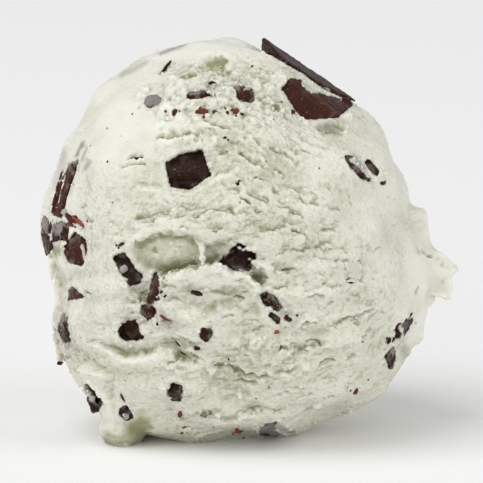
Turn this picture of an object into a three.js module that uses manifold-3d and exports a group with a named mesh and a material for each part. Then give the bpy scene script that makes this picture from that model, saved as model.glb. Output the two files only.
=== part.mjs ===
// One scoop of mint ice cream with broken dark chocolate frozen into it.
//
// The scoop is a ball pressed out of a round spoon: a smooth crown and right cheek, a torn and
// crumbly middle, a thin lip of ice cream pushed out at the right where the spoon's rim ran, and
// a foot that slumped at the lower left. It rests on a small flat spot.
//
// The ball is drawn in a face frame whose origin is the ball's centre: u runs right, v runs up
// the face and w comes out of the face, which looks a little upwards. The row frame has +Z up,
// with its origin on the flat spot.

import * as THREE from 'three';
import { mergeVertices } from 'three/addons/utils/BufferGeometryUtils.js';
import Module from 'manifold-3d';

// ---- Driving dimensions, in millimetres and degrees ----

const CENTRE_HEIGHT = 32;      // the ball's centre above the surface it rests on
const FACE_LIFT = 10;          // how far the face looks upwards
const BALL_DEPTH = 31;         // half of the ball from front to back
const GRID = 25;               // squares along each edge of the cube that is blown up into the ball
const CROWDING = 0.22;         // how far the squares are drawn to the front, where the carving is finest

// The ball's outline: its radius every 15 degrees round the face, anticlockwise from the right.
const OUTLINE = [
  29.9, 30.2, 30.8, 30.8, 29.9, 31.6, 33.2, 33.3, 33.0, 32.3, 32.0, 31.0,
  30.5, 29.6, 33.0, 34.4, 36.0, 34.8, 34.0, 33.8, 34.1, 35.4, 34.2, 31.6,
];

// The lip at the right: its ragged edge in u and v, from the top down, with two ends in the ball.
const LIP_EDGE = [
  [25, 9], [29.8, 6.0], [32.6, 5.3], [33.3, 2.0], [33.8, -0.8], [36.7, -3.2], [38.4, -4.7],
  [36.9, -6.2], [36.9, -9.0], [36.2, -10.0], [34.8, -8.6], [33.2, -10.8], [32.6, -14.0],
  [32.4, -17.0], [30.9, -17.7], [29.6, -20.4], [24, -22],
];
const LIP_BEHIND = 2.4;        // the lip's middle lies this far behind the ball's centre plane
const LIP_THICKNESS = 5.0;
const LIP_ROUNDING = 3.0;      // its edge is drawn in this far at the front and the back
const LIP_LAYERS = 4;

// The ball swells towards the lip: clock angles between which it does, how far, and how softly.
const SWELLING = { from: -38, to: 14, height: 2.4, spread: 5.0 };

// The deep hollow left of the middle, and the flap of ice cream that stands in front of it.
const CAVITY = { u: -6.5, v: -2.6, halfWidth: 12.0, halfHeight: 6.0, depth: 4.6 };
const FLAP_CREST = -4.3;       // the top of the flap's rim, at its middle
const FLAP_MIDDLE = -2.8;
const FLAP_CURVE = 0.024;      // how fast the rim drops away to both sides
const FLAP_LIFT = 1.4;
const FLAP_LENGTH = 5.5;       // the lift fades out this far below the rim

// Hollows: side (1 front, -1 back), u, v, half width, half height, depth.
const HOLLOWS = [
  [1, -2.2, 28.8, 2.4, 1.7, 1.5],
  [1, -6.2, 27.5, 1.8, 1.2, 1.0],
  [1, -7.4, 11.6, 5.4, 4.6, 1.6],
  [1, -8.6, -18.6, 3.2, 2.0, 1.6],
  [1, 16.5, 18.3, 2.4, 1.8, 0.9],
  [1, 3.6, -5.6, 3.6, 1.8, 1.2],
  [-1, -9.0, 6.0, 5.0, 3.4, 2.4],
  [-1, 11.0, -3.0, 4.2, 2.6, 1.8],
  [-1, 2.0, 19.0, 3.4, 2.0, 1.4],
  [-1, 16.0, 14.0, 3.0, 2.4, 1.2],
];

// Ledges dragged up by the spoon: side, left end, right end, and how far the ice above is sunk.
const LEDGES = [
  [1, [-15.5, 8.9], [-3.0, 9.4], 1.3],
  [1, [-12.5, 15.9], [-3.2, 16.7], 0.9],
  [1, [-20.8, -17.4], [-7.0, -19.4], 1.5],
  [1, [-16.5, 2.9], [-4.0, 4.4], 0.7],
  [1, [5.8, -4.6], [11.2, -5.6], 1.2],
  [1, [-7.0, -28.9], [6.5, -28.2], 0.8],
  [1, [7.0, -18.8], [16.4, -17.0], 0.9],
  [-1, [-16.0, 2.0], [4.0, 0.5], 1.5],
  [-1, [-2.0, -11.0], [17.0, -9.0], 1.4],
  [-1, [-20.0, -14.5], [-5.0, -17.5], 1.2],
  [-1, [3.0, 12.0], [15.0, 9.5], 1.0],
];
const LEDGE_FADE = 4.0;        // the sunk ice comes back up over this height

// Broad lumps all over, and the shallow ridges that the spoon dragged across the lower part.
const LUMP_WAVES = 9;
const LUMP_LENGTH = 9;
const LUMP_HEIGHT = 0.24;
const DRAG_SPACING = 4.4;
const DRAG_HEIGHT = 0.26;

// The foot at the lower left: where it stands, and its radii from the surface up into the ball.
const FOOT = { x: -17.2, y: -12.2, lean: -9, waviness: 0.08 };
const FOOT_PROFILE = [[0, -1], [4.3, -1], [4.2, 1.4], [3.6, 3.6], [5.4, 8], [7.0, 13], [0, 18]];
const FOOT_SIDES = 18;

// Chocolate: how far a piece stands proud, how it narrows inwards, and the room round it.
const PROUD = 0.35;
const NARROWING = 0.25;
const LEAST_DEPTH = 1.2;       // even its lowest corner is set this deep
const CLEARANCE = 0.35;
const OPEN_REACH = 8;          // a pocket is cut this far out of the surface

// The pieces whose shape can be told: outline corners in u and v, and thickness.
const SHARDS = {
  chip_top_plate: [6, [5.5, 33.6], [5.4, 31.6], [9.4, 29.2], [11.8, 27.9], [16.2, 24.8], [20.8, 23.2]],
  chip_curled_flake: [4, [8.6, 25.0], [10.2, 26.4], [11.6, 26.3], [12.3, 24.5], [20.4, 22.7],
    [17.8, 20.4], [12.5, 19.8], [10.6, 21.6]],
  chip_cube: [6.5, [-10.4, 12.5], [-7.5, 14.0], [-4.6, 14.5], [-3.3, 10.6], [-6.6, 8.3], [-9.6, 8.8]],
  chip_long_shard: [3, [-25.0, 13.1], [-26.6, 8.4], [-27.8, 3.8], [-29.2, 4.2], [-28.3, 8.6],
    [-26.4, 12.4]],
  chip_left_chunk: [5, [-25.6, 1.2], [-23.9, 0.2], [-23.7, -2.2], [-24.4, -4.1], [-26.4, -3.6],
    [-27.3, -2.0], [-26.7, -0.8]],
  chip_left_grey: [3, [-29.2, 2.4], [-27.6, 3.0], [-26.6, 1.8], [-27.2, 0.2], [-29.2, -0.2]],
  chip_left_edge: [5, [-30.9, 4.0], [-30.1, 3.0], [-30.0, -2.0], [-30.6, -2.6], [-31.2, 1.0]],
  chip_slab: [4.5, [-18.8, -2.8], [-17.4, -2.2], [-14.2, -6.0], [-14.8, -6.9], [-16.2, -7.3],
    [-18.2, -4.6]],
  chip_arrow: [4, [-2.1, -4.0], [1.4, -0.6], [4.3, -2.2], [4.1, -3.3], [2.9, -4.9], [1.0, -4.9]],
  chip_splinter: [4, [-12.2, -5.3], [-11.0, -6.1], [-10.8, -7.4], [-12.3, -10.0], [-13.4, -10.1]],
  chip_red_brown: [3.5, [-14.3, -10.8], [-12.7, -10.7], [-12.0, -11.8], [-13.3, -13.1], [-14.3, -12.2]],
  chip_lower_left: [4, [-18.3, -14.8], [-16.9, -13.1], [-15.5, -13.0], [-14.1, -16.0], [-16.7, -16.7],
    [-17.9, -15.9]],
  chip_frosted: [4, [4.8, -9.0], [5.9, -8.3], [7.2, -9.2], [8.3, -11.0], [7.8, -11.5], [5.6, -10.4]],
  chip_left_triangle: [3, [-26.8, -9.9], [-26.5, -8.2], [-25.9, -7.9], [-24.0, -9.4], [-25.6, -9.6]],
  chip_left_low: [4, [-28.6, -14.9], [-27.4, -12.2], [-26.8, -14.0], [-26.5, -16.8], [-27.6, -16.8]],
  chip_corner: [5, [-23.9, -24.0], [-21.7, -23.9], [-20.9, -26.0], [-21.8, -28.4], [-22.9, -28.8],
    [-23.7, -26.6]],
  chip_bottom: [4, [5.2, -30.8], [7.0, -30.0], [9.7, -31.6], [7.4, -32.6], [5.0, -32.4]],
  chip_right_low: [4, [27.2, -14.6], [28.6, -13.4], [30.3, -13.2], [29.0, -15.4], [27.6, -16.0]],
  chip_right_leaf: [3, [25.6, -19.3], [26.9, -17.6], [27.3, -19.8], [26.5, -21.4]],
  chip_right_dark: [3, [18.8, 13.8], [20.2, 13.3], [22.0, 11.6], [23.2, 9.6], [21.4, 10.2], [19.7, 12.2]],
};

// The plainer pieces: side, u, v, length, width, turn in degrees, and corners.
const FRAGMENTS = {
  chip_crown: [1, 2.4, 24.0, 3.8, 2.6, -20, 6],
  chip_crown_sliver: [1, -5.4, 23.7, 5.6, 0.9, 3, 5],
  chip_crown_left: [1, -12.5, 22.9, 3.0, 2.0, 20, 6],
  chip_middle_low: [1, -3.9, -15.2, 2.4, 2.0, 70, 5],
  chip_below: [1, -9.0, -25.0, 3.6, 2.0, 80, 6],
  chip_foot: [1, -17.2, -28.6, 2.8, 2.0, -60, 6],
  chip_frosted_small: [1, 7.2, -12.7, 2.2, 1.1, -40, 5],
  chip_right_thin: [1, 23.3, 11.9, 3.4, 1.0, -48, 5],
  chip_back_a: [-1, -13.5, 13.0, 5.4, 3.6, 25, 6],
  chip_back_b: [-1, 2.5, 4.5, 6.2, 4.4, -35, 7],
  chip_back_c: [-1, -20.0, -4.0, 4.2, 2.8, 70, 6],
  chip_back_d: [-1, 12.5, 17.0, 4.6, 2.6, -10, 6],
  chip_back_e: [-1, 18.5, 1.0, 4.8, 2.4, 50, 6],
  chip_back_f: [-1, -7.5, -9.5, 5.0, 2.2, -62, 5],
  chip_back_g: [-1, 8.0, -17.0, 4.0, 3.2, 15, 6],
  chip_back_h: [-1, -14.0, -20.0, 4.4, 2.2, 35, 6],
  chip_back_i: [-1, -3.0, 24.5, 4.8, 2.6, 10, 6],
  chip_back_j: [-1, 21.0, -15.5, 3.6, 2.6, -50, 6],
};
const FRAGMENT_DEPTH = 3.2;

// Bits too small to lift out, frozen into the scoop: side, u, v and size.
const BITS = [
  [1, -17.7, -0.7, 1.3], [1, -5.4, -8.6, 1.6], [1, 9.6, -13.2, 1.2], [1, 7.6, -15.0, 1.1],
  [1, -8.2, -28.6, 1.4], [1, -7.6, -30.9, 1.2], [1, 1.4, -31.6, 1.5], [1, 20.7, -24.9, 1.5],
  [1, 10.3, 21.0, 1.0], [1, 1.0, 21.2, 1.3], [1, -4.3, 21.1, 1.3], [1, -9.0, 20.8, 1.3],
  [1, 25.0, 9.3, 0.9], [1, -10.8, -12.7, 1.4],
  [-1, -4.0, 15.0, 1.5], [-1, 14.5, -9.0, 1.4], [-1, -17.5, 4.5, 1.3], [-1, 5.0, -24.5, 1.4],
  [-1, -12.0, -14.5, 1.2], [-1, 22.5, 8.5, 1.3], [-1, -20.5, 16.0, 1.2], [-1, 9.5, 24.5, 1.3],
];

// ---- Joining and cutting ----

const wasm = await Module();
wasm.setup();

function toSolid(geometry) {
  const bare = geometry.clone();
  bare.deleteAttribute('normal');
  bare.deleteAttribute('uv');
  const merged = mergeVertices(bare, 1e-4);
  return new wasm.Manifold(new wasm.Mesh({
    numProp: 3,
    vertProperties: new Float32Array(merged.attributes.position.array),
    triVerts: new Uint32Array(merged.index.array),
  }));
}

function toGeometry(solid) {
  const mesh = solid.getMesh();
  const geometry = new THREE.BufferGeometry();
  geometry.setAttribute('position', new THREE.BufferAttribute(mesh.vertProperties, 3));
  geometry.setIndex(new THREE.BufferAttribute(mesh.triVerts, 1));
  geometry.computeVertexNormals();
  return geometry;
}

// A repeatable stream of numbers from 0 to 1.
function randomStream(seed) {
  let state = seed;
  return () => {
    state = (state * 16807) % 2147483647;
    return state / 2147483647;
  };
}

// ---- The ball's surface ----

const { clamp, degToRad, lerp, smoothstep } = THREE.MathUtils;

function outlineRadius(degrees) {
  const step = 360 / OUTLINE.length;
  const place = ((degrees + 360) % 360) / step;
  const k = Math.floor(place);
  const [a, b, c, d] = [-1, 0, 1, 2].map((n) => OUTLINE[(k + n + OUTLINE.length) % OUTLINE.length]);
  const t = place - k;
  const bend = (2 * a - 5 * b + 4 * c - d) * t * t + (3 * (b - c) + d - a) * t * t * t;
  return b + 0.5 * ((c - a) * t + bend);
}

function swelling(degrees, w) {
  const { from, to, height, spread } = SWELLING;
  const ends = smoothstep(degrees, from, from + 12) * (1 - smoothstep(degrees, to - 8, to));
  return height * ends * Math.exp(-(((w + LIP_BEHIND) / spread) ** 2));
}

// Waves whose directions are spread evenly over a sphere, so that no two lumps are alike.
function lumps(point) {
  let height = 0;
  for (let k = 0; k < LUMP_WAVES; k++) {
    const rise = 1 - (2 * k + 1) / LUMP_WAVES;
    const turn = 2.4 * k;
    const side = Math.sqrt(1 - rise * rise);
    const along = point.x * side * Math.cos(turn) + point.y * rise + point.z * side * Math.sin(turn);
    const length = LUMP_LENGTH * (1 + 0.12 * k);
    height += LUMP_HEIGHT * Math.sin(2 * Math.PI * along / length + 1.7 * k);
  }
  return height;
}

// The ridges rise and fall up the face, bend a little, and die out on the smooth crown.
function dragRidges(point) {
  const bent = point.y + 0.9 * Math.sin(point.x / 6) + 0.6 * Math.sin(point.z / 5 + 1);
  const patches = 0.6 + 0.4 * Math.sin(point.x / 5 + point.y / 9);
  const height = DRAG_HEIGHT * patches * smoothstep(-point.y, -8, 8);
  return height * Math.sin(2 * Math.PI * bent / DRAG_SPACING);
}

function flapAndCavity(u, v) {
  const across = (u - CAVITY.u) / CAVITY.halfWidth;
  const up = (v - CAVITY.v) / CAVITY.halfHeight;
  const bowl = clamp(1.25 * (1 - across * across - up * up), 0, 1);
  const aboveRim = v - FLAP_CREST + FLAP_CURVE * (u - FLAP_MIDDLE) ** 2;
  if (aboveRim > 0) return -CAVITY.depth * bowl * smoothstep(aboveRim, 0, 0.8);
  return FLAP_LIFT * clamp(1.6 * (1 - across * across), 0, 1) * Math.exp(aboveRim / FLAP_LENGTH);
}

function ledge(u, v, from, to, drop) {
  const length = Math.hypot(to[0] - from[0], to[1] - from[1]);
  const right = [(to[0] - from[0]) / length, (to[1] - from[1]) / length];
  const along = (u - from[0]) * right[0] + (v - from[1]) * right[1];
  const above = (v - from[1]) * right[0] - (u - from[0]) * right[1];
  const ends = smoothstep(along, 0, 3) * (1 - smoothstep(along, length - 3, length));
  if (above < 0) return 0.35 * drop * ends * Math.exp(above / 1.5);
  return -drop * ends * Math.exp(-above / LEDGE_FADE);
}

function carving(point) {
  const side = point.z >= 0 ? 1 : -1;
  const edge = smoothstep(Math.abs(point.z), 0, 4);
  let height = side > 0 ? flapAndCavity(point.x, point.y) : 0;
  for (const [where, u, v, halfWidth, halfHeight, depth] of HOLLOWS) {
    if (where !== side) continue;
    const reach = ((point.x - u) / halfWidth) ** 2 + ((point.y - v) / halfHeight) ** 2;
    height -= depth * Math.exp(-reach * reach);
  }
  for (const [where, from, to, drop] of LEDGES) {
    if (where === side) height += ledge(point.x, point.y, from, to, drop);
  }
  return height * edge;
}

// The distance from the ball's centre to its surface in a given direction.
function surfaceRadius(direction) {
  const clock = THREE.MathUtils.radToDeg(Math.atan2(direction.y, direction.x));
  const flat = Math.hypot(direction.x, direction.y);
  const ball = 1 / Math.hypot(flat / outlineRadius(clock), direction.z / BALL_DEPTH);
  const point = direction.clone().multiplyScalar(ball);
  return ball + lumps(point) + dragRidges(point) + carving(point) + swelling(clock, point.z);
}

// How far out of the face the surface stands at u and v, on the front or the back.
function surfaceHeight(side, u, v) {
  let inside = 0;
  let outside = BALL_DEPTH + 4;
  for (let k = 0; k < 24; k++) {
    const middle = (inside + outside) / 2;
    const point = new THREE.Vector3(u, v, side * middle);
    const radius = point.length();
    if (radius < surfaceRadius(point.normalize())) inside = middle;
    else outside = middle;
  }
  return side * inside;
}

// A cube blown up into a ball, with the squares kept even by the tangent of each coordinate.
function ballGeometry() {
  const geometry = new THREE.BoxGeometry(2, 2, 2, GRID, GRID, GRID);
  const place = geometry.attributes.position;
  const direction = new THREE.Vector3();
  for (let k = 0; k < place.count; k++) {
    direction.fromBufferAttribute(place, k);
    for (const axis of ['x', 'y', 'z']) direction[axis] = Math.tan(direction[axis] * Math.PI / 4);
    direction.normalize();
    direction.z += CROWDING;
    direction.normalize();
    direction.multiplyScalar(surfaceRadius(direction));
    place.setXYZ(k, direction.x, direction.y, direction.z);
  }
  return geometry;
}

// ---- Chocolate ----

function fragmentOutline(u, v, length, width, turn, corners, seed) {
  const random = randomStream(seed);
  const outline = [];
  for (let k = 0; k < corners; k++) {
    const angle = (k + 0.7 * (random() - 0.5)) * 2 * Math.PI / corners;
    const reach = 0.5 * lerp(0.8, 1.12, random());
    const corner = new THREE.Vector2(length * reach * Math.cos(angle), width * reach * Math.sin(angle));
    corner.rotateAround(new THREE.Vector2(), degToRad(turn));
    outline.push([corner.x + u, corner.y + v]);
  }
  return outline;
}

// An outline with every edge moved outwards by some room, or inwards by a negative one.
function grownOutline(outline, room) {
  const corners = outline.map(([u, v]) => new THREE.Vector2(u, v));
  const anticlockwise = THREE.ShapeUtils.isClockWise(corners) ? -1 : 1;
  return corners.map((corner, k) => {
    const before = corners[(k + corners.length - 1) % corners.length];
    const after = corners[(k + 1) % corners.length];
    const arriving = corner.clone().sub(before).normalize();
    const leaving = after.clone().sub(corner).normalize();
    const outward = new THREE.Vector2(arriving.y + leaving.y, -arriving.x - leaving.x);
    const sharp = Math.max(outward.lengthSq() / 2, 0.35);
    return corner.clone().addScaledVector(outward, anticlockwise * room / sharp).toArray();
  });
}

// A slab of broken chocolate set into the surface: its face follows the surface, and its back is flat.
function slabRings(side, outline, thickness) {
  const heights = outline.map(([u, v]) => side * surfaceHeight(side, u, v));
  const mean = heights.reduce((sum, height) => sum + height, 0) / heights.length;
  const back = Math.min(mean - thickness, Math.min(...heights) - LEAST_DEPTH);
  return {
    faceRing: outline.map(([u, v], k) => new THREE.Vector3(u, v, side * (heights[k] + PROUD))),
    backRing: grownOutline(outline, -NARROWING).map(([u, v]) => new THREE.Vector3(u, v, side * back)),
  };
}

// The room that a slab needs in the ball: wider all round, open at the face and deeper at the back.
function pocketRings({ faceRing, backRing }, side) {
  const grow = (ring, shift) => grownOutline(ring.map((corner) => [corner.x, corner.y]), CLEARANCE)
    .map(([u, v], k) => new THREE.Vector3(u, v, ring[k].z + side * shift));
  return { faceRing: grow(faceRing, OPEN_REACH), backRing: grow(backRing, -CLEARANCE) };
}

function ringSolid(side, { faceRing, backRing }) {
  const shape = new THREE.Shape(faceRing.map((corner) => new THREE.Vector2(corner.x, corner.y)));
  const geometry = new THREE.ExtrudeGeometry(shape, { depth: 1, bevelEnabled: false });
  const place = geometry.attributes.position;
  for (let k = 0; k < place.count; k++) {
    const corner = faceRing.findIndex((one) =>
      Math.abs(one.x - place.getX(k)) < 1e-4 && Math.abs(one.y - place.getY(k)) < 1e-4);
    const atFace = place.getZ(k) > 0.5 === side > 0;
    const to = atFace ? faceRing[corner] : backRing[corner];
    place.setXYZ(k, to.x, to.y, to.z);
  }
  return toSolid(geometry);
}

// ---- The scoop ----

const face = new THREE.Group();
face.rotation.x = degToRad(90 - FACE_LIFT);
face.position.z = CENTRE_HEIGHT;
face.updateMatrixWorld();
const rowToFace = face.matrixWorld.clone().invert();

// Everything below the surface that the scoop rests on.
function slabUnder(top) {
  const slab = new THREE.BoxGeometry(200, 200, 20);
  slab.translate(0, 0, top - 10);
  slab.applyMatrix4(rowToFace);
  return toSolid(slab);
}

// The lip's edge is thin: away from its middle layer it is drawn in towards the ball's centre.
function lipSolid() {
  const shape = new THREE.Shape(LIP_EDGE.map(([u, v]) => new THREE.Vector2(u, v)));
  const options = { depth: LIP_THICKNESS, steps: LIP_LAYERS, bevelEnabled: false };
  const lip = new THREE.ExtrudeGeometry(shape, options);
  lip.translate(0, 0, -LIP_THICKNESS / 2);
  const place = lip.attributes.position;
  for (let k = 0; k < place.count; k++) {
    const [u, v, w] = [place.getX(k), place.getY(k), place.getZ(k)];
    const drawnIn = 1 - LIP_ROUNDING * (2 * w / LIP_THICKNESS) ** 2 / Math.hypot(u, v);
    place.setXYZ(k, u * drawnIn, v * drawnIn, w - LIP_BEHIND);
  }
  return toSolid(lip);
}

function footSolid() {
  const profile = FOOT_PROFILE.map(([radius, height]) => new THREE.Vector2(radius, height));
  const foot = new THREE.LatheGeometry(profile, FOOT_SIDES);
  const place = foot.attributes.position;
  for (let k = 0; k < place.count; k++) {
    const turn = Math.atan2(place.getZ(k), place.getX(k));
    const swell = 1 + FOOT.waviness * Math.sin(3 * turn + place.getY(k) / 4);
    place.setX(k, place.getX(k) * swell);
    place.setZ(k, place.getZ(k) * swell);
  }
  foot.rotateX(degToRad(90 + FOOT.lean));
  foot.translate(FOOT.x, FOOT.y, 0);
  foot.applyMatrix4(rowToFace);
  return toSolid(foot);
}

function bitSolid(side, u, v, size) {
  const bit = new THREE.IcosahedronGeometry(0.6 * size);
  bit.scale(1.2, 0.9, 0.9);
  bit.rotateZ(u + v);
  bit.translate(u, v, surfaceHeight(side, u, v));
  return toSolid(bit);
}

const CHOCOLATE = { color: '#3a2a24', roughness: 0.55, metalness: 0 };
const ICE_CREAM = { color: '#d9dacb', roughness: 0.6, metalness: 0 };

function addMesh(name, geometry, finish) {
  const mesh = new THREE.Mesh(geometry, new THREE.MeshStandardMaterial(finish));
  geometry.computeBoundingBox();
  geometry.boundingBox.getCenter(mesh.position);
  geometry.translate(-mesh.position.x, -mesh.position.y, -mesh.position.z);
  mesh.name = name;
  face.add(mesh);
}

let scoop = toSolid(ballGeometry()).add(lipSolid()).add(footSolid());
for (const bit of BITS) scoop = scoop.add(bitSolid(...bit));

const underChips = slabUnder(0.4);

function addChip(name, side, outline, thickness) {
  const rings = slabRings(side, outline, thickness);
  scoop = scoop.subtract(ringSolid(side, pocketRings(rings, side)));
  const chip = ringSolid(side, rings).subtract(underChips);
  addMesh(name, toGeometry(chip), CHOCOLATE);
}

for (const [name, [thickness, ...outline]] of Object.entries(SHARDS)) {
  addChip(name, 1, outline, thickness);
}
Object.entries(FRAGMENTS).forEach(([name, [side, ...rest]], k) => {
  addChip(name, side, fragmentOutline(...rest, 1001 + 37 * k), FRAGMENT_DEPTH);
});

scoop = scoop.subtract(slabUnder(0));
addMesh('ice_cream_scoop', toGeometry(scoop), ICE_CREAM);

const part = new THREE.Group();
part.add(face);

export default part;
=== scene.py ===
# %% [markdown]
# # A scoop of mint chocolate chip ice cream
#
# Ice cream that has been scooped shows how it was scooped. Where the spoon slid over it, it is
# smooth as satin; where it was pulled apart, it is torn into ledges, scales and crumbs; and where
# the spoon's rim ran, a thin lip is squeezed out. Broken dark chocolate is frozen into it, some of
# it clean and some of it under a milky smear.
#
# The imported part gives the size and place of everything. The chocolate is carved out of its own
# CAD nodes, and the ice cream is built new, in the same place, with far finer relief.

import bpy
import bmesh
import math
import numpy as np
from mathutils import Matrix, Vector, noise
from mathutils.bvhtree import BVHTree
from mathutils.kdtree import KDTree


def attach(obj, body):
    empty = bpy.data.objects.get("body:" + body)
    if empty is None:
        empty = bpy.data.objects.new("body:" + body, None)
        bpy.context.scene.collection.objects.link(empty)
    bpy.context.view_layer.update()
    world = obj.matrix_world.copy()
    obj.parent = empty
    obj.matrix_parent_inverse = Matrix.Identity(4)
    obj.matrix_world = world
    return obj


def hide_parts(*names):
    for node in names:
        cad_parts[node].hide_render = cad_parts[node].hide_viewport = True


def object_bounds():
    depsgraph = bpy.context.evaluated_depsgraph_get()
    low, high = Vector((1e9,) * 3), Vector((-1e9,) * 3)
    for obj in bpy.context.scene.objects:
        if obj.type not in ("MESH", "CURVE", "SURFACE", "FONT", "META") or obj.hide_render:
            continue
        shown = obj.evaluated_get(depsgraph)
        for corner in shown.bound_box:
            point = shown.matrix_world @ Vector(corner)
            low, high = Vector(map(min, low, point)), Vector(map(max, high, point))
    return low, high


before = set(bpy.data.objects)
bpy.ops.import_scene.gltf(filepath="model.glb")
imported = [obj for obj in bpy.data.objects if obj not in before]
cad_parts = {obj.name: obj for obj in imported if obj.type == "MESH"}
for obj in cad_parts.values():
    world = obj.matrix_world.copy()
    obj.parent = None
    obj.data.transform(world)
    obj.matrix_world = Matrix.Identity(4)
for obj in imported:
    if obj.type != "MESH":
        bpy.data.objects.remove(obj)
cad_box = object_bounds()
chip_names = sorted(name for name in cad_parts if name.startswith("chip_"))
print("CAD box", cad_box, "with", len(chip_names), "pieces of chocolate")

# %% [markdown]
# ## The face frame
#
# A scoop is easiest to describe face on. The face frame has its origin at the ball's centre: u
# runs right, v runs up the face and w comes out of it. The face looks 10 degrees upwards. All the
# shaping is done there in millimetres, and two functions carry points to Blender's metres and back.

# %% The face frame, and points in and out of a mesh
MM = 0.001
FACE_LIFT = math.radians(10)
CENTRE = np.array([0.0, 0.0, 32.0])
FACE_AXES = np.array([
    [1, 0, 0],
    [0, math.sin(FACE_LIFT), math.cos(FACE_LIFT)],
    [0, -math.cos(FACE_LIFT), math.sin(FACE_LIFT)],
])


def to_face(metres):
    return (np.asarray(metres, float) / MM - CENTRE) @ FACE_AXES.T


def to_row(points):
    return (points @ FACE_AXES + CENTRE) * MM


def read_points(piece):
    flat = np.empty(len(piece.data.vertices) * 3, np.float32)
    piece.data.vertices.foreach_get("co", flat)
    return to_face(flat.reshape(-1, 3))


def in_box(points):
    return to_face(np.clip(to_row(points), cad_box[0], cad_box[1]))


def write_points(piece, points):
    piece.data.vertices.foreach_set("co", to_row(points).astype(np.float32).ravel())
    piece.data.update()


def read_normals(piece):
    flat = np.empty(len(piece.data.vertices) * 3, np.float32)
    piece.data.vertex_normals.foreach_get("vector", flat)
    return flat.reshape(-1, 3) @ FACE_AXES.T


def smoothstep(x, low, high):
    t = np.clip((x - low) / (high - low), 0, 1)
    return t * t * (3 - 2 * t)


def from_line(places, start, end):
    run = np.subtract(end, start)
    share = np.clip((places - start) @ run / (run @ run), 0, 1)
    return np.linalg.norm(places - start - share[:, None] * run, axis=1)


def deselect_all():
    bpy.ops.object.select_all(action="DESELECT")


def pick(piece):
    deselect_all()
    piece.select_set(True)
    bpy.context.view_layer.objects.active = piece


def apply_modifier(piece, kind, **settings):
    pick(piece)
    modifier = piece.modifiers.new(kind.title(), kind)
    for name, value in settings.items():
        setattr(modifier, name, value)
    bpy.ops.object.modifier_apply(modifier=modifier.name)


# %% [markdown]
# ## The ball
#
# A spoon presses a ball that is never round. Its outline is given by its radius every 15 degrees
# round the face, its depth by one radius, and broad lumps by a few waves that run in different
# directions. A cube that is subdivided and blown up makes a ball without poles, so that no place
# has longer or shorter faces than another.

# %% The ball's outline, lumps and swelling
BALL_DEPTH = 31
OUTLINE = np.array([
    29.9, 30.2, 30.8, 30.8, 29.9, 31.6, 33.2, 33.3, 33.0, 32.3, 32.0, 31.0,
    30.5, 29.6, 33.0, 34.4, 36.0, 34.8, 34.0, 33.8, 34.1, 35.4, 34.2, 31.6,
])
LUMP_WAVES = 9
LUMP_LENGTH = 9
LUMP_HEIGHT = 0.24
DRAG_SPACING = 4.4
DRAG_HEIGHT = 0.26
LIP_BEHIND = 2.4
SWELLING = dict(start=-38, end=9, height=1.9, spread=8.0)


def outline_radius(degrees):
    place = (degrees % 360) / (360 / len(OUTLINE))
    k = np.floor(place).astype(int)
    t = place - k
    a, b, c, d = (OUTLINE[(k + n) % len(OUTLINE)] for n in (-1, 0, 1, 2))
    bend = (2 * a - 5 * b + 4 * c - d) * t**2 + (3 * (b - c) + d - a) * t**3
    return b + 0.5 * ((c - a) * t + bend)


def lumps(p):
    height = np.zeros(len(p))
    for k in range(LUMP_WAVES):
        rise = 1 - (2 * k + 1) / LUMP_WAVES
        side = math.sqrt(1 - rise * rise)
        turn = 2.4 * k
        along = p @ np.array([side * math.cos(turn), rise, side * math.sin(turn)])
        length = LUMP_LENGTH * (1 + 0.12 * k)
        height += LUMP_HEIGHT * np.sin(2 * math.pi * along / length + 1.7 * k)
    return height


def drag_ridges(p):
    bent = p[:, 1] + 0.9 * np.sin(p[:, 0] / 6) + 0.6 * np.sin(p[:, 2] / 5 + 1)
    patches = 0.6 + 0.4 * np.sin(p[:, 0] / 5 + p[:, 1] / 9)
    height = DRAG_HEIGHT * patches * smoothstep(-p[:, 1], -8, 8)
    return height * np.sin(2 * math.pi * bent / DRAG_SPACING)


def swelling(degrees, w):
    start, end = SWELLING["start"], SWELLING["end"]
    ends = smoothstep(degrees, start, start + 12) * (1 - smoothstep(degrees, end - 8, end))
    return SWELLING["height"] * ends * np.exp(-(((w + LIP_BEHIND) / SWELLING["spread"]) ** 2))


# %% [markdown]
# ## What the spoon tore open
#
# Three things break the ball's face: a deep hollow left of the middle with a flap of ice cream
# standing in front of it, rounder hollows, and ledges, below which the ice cream stands out
# while it is sunk above. They are height on the ball, given by a few sizes each.

# %% The cavity, the flap, the hollows and the ledges
CAVITY_BOWLS = [
    # middle (u, v), half width, half height, depth
    (-9.8, -2.6, 7.2, 4.2, 3.0), (-1.8, -3.2, 4.2, 3.4, 3.0),
    (-13.4, -7.2, 2.8, 4.6, 2.2), (3.4, -6.4, 2.8, 2.2, 2.4),
]
FLAP_RIM = np.array([
    (-12.4, -10.6), (-11.5, -8.5), (-11.3, -6.1), (-8.2, -5.5), (-5.7, -5.0),
    (-2.8, -4.2), (-1.0, -4.7), (1.8, -5.2), (4.7, -7.2), (5.6, -9.2),
])
FLAP_LIFT = 1.9
FLAP_LENGTH = 5.5
CHUNK_RIM = np.array([
    (-17.5, 9.4), (-14.6, 8.9), (-9.8, 8.6), (-6.2, 8.0), (-3.0, 10.0), (-0.6, 10.9), (2.0, 11.7),
])
CREASE_RIM = np.array([
    (-23.0, -16.4), (-19.5, -18.3), (-17.7, -19.2), (-15.7, -19.5), (-13.7, -19.2), (-11.7, -18.6), (-10.3, -18.8),
    (-9.0, -19.7), (-4.5, -20.6),
])
TORN_RIMS = [(CHUNK_RIM, 0.9, 2.5), (CREASE_RIM, 1.3, 1.5)]
RIM_ENDS = 4
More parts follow.
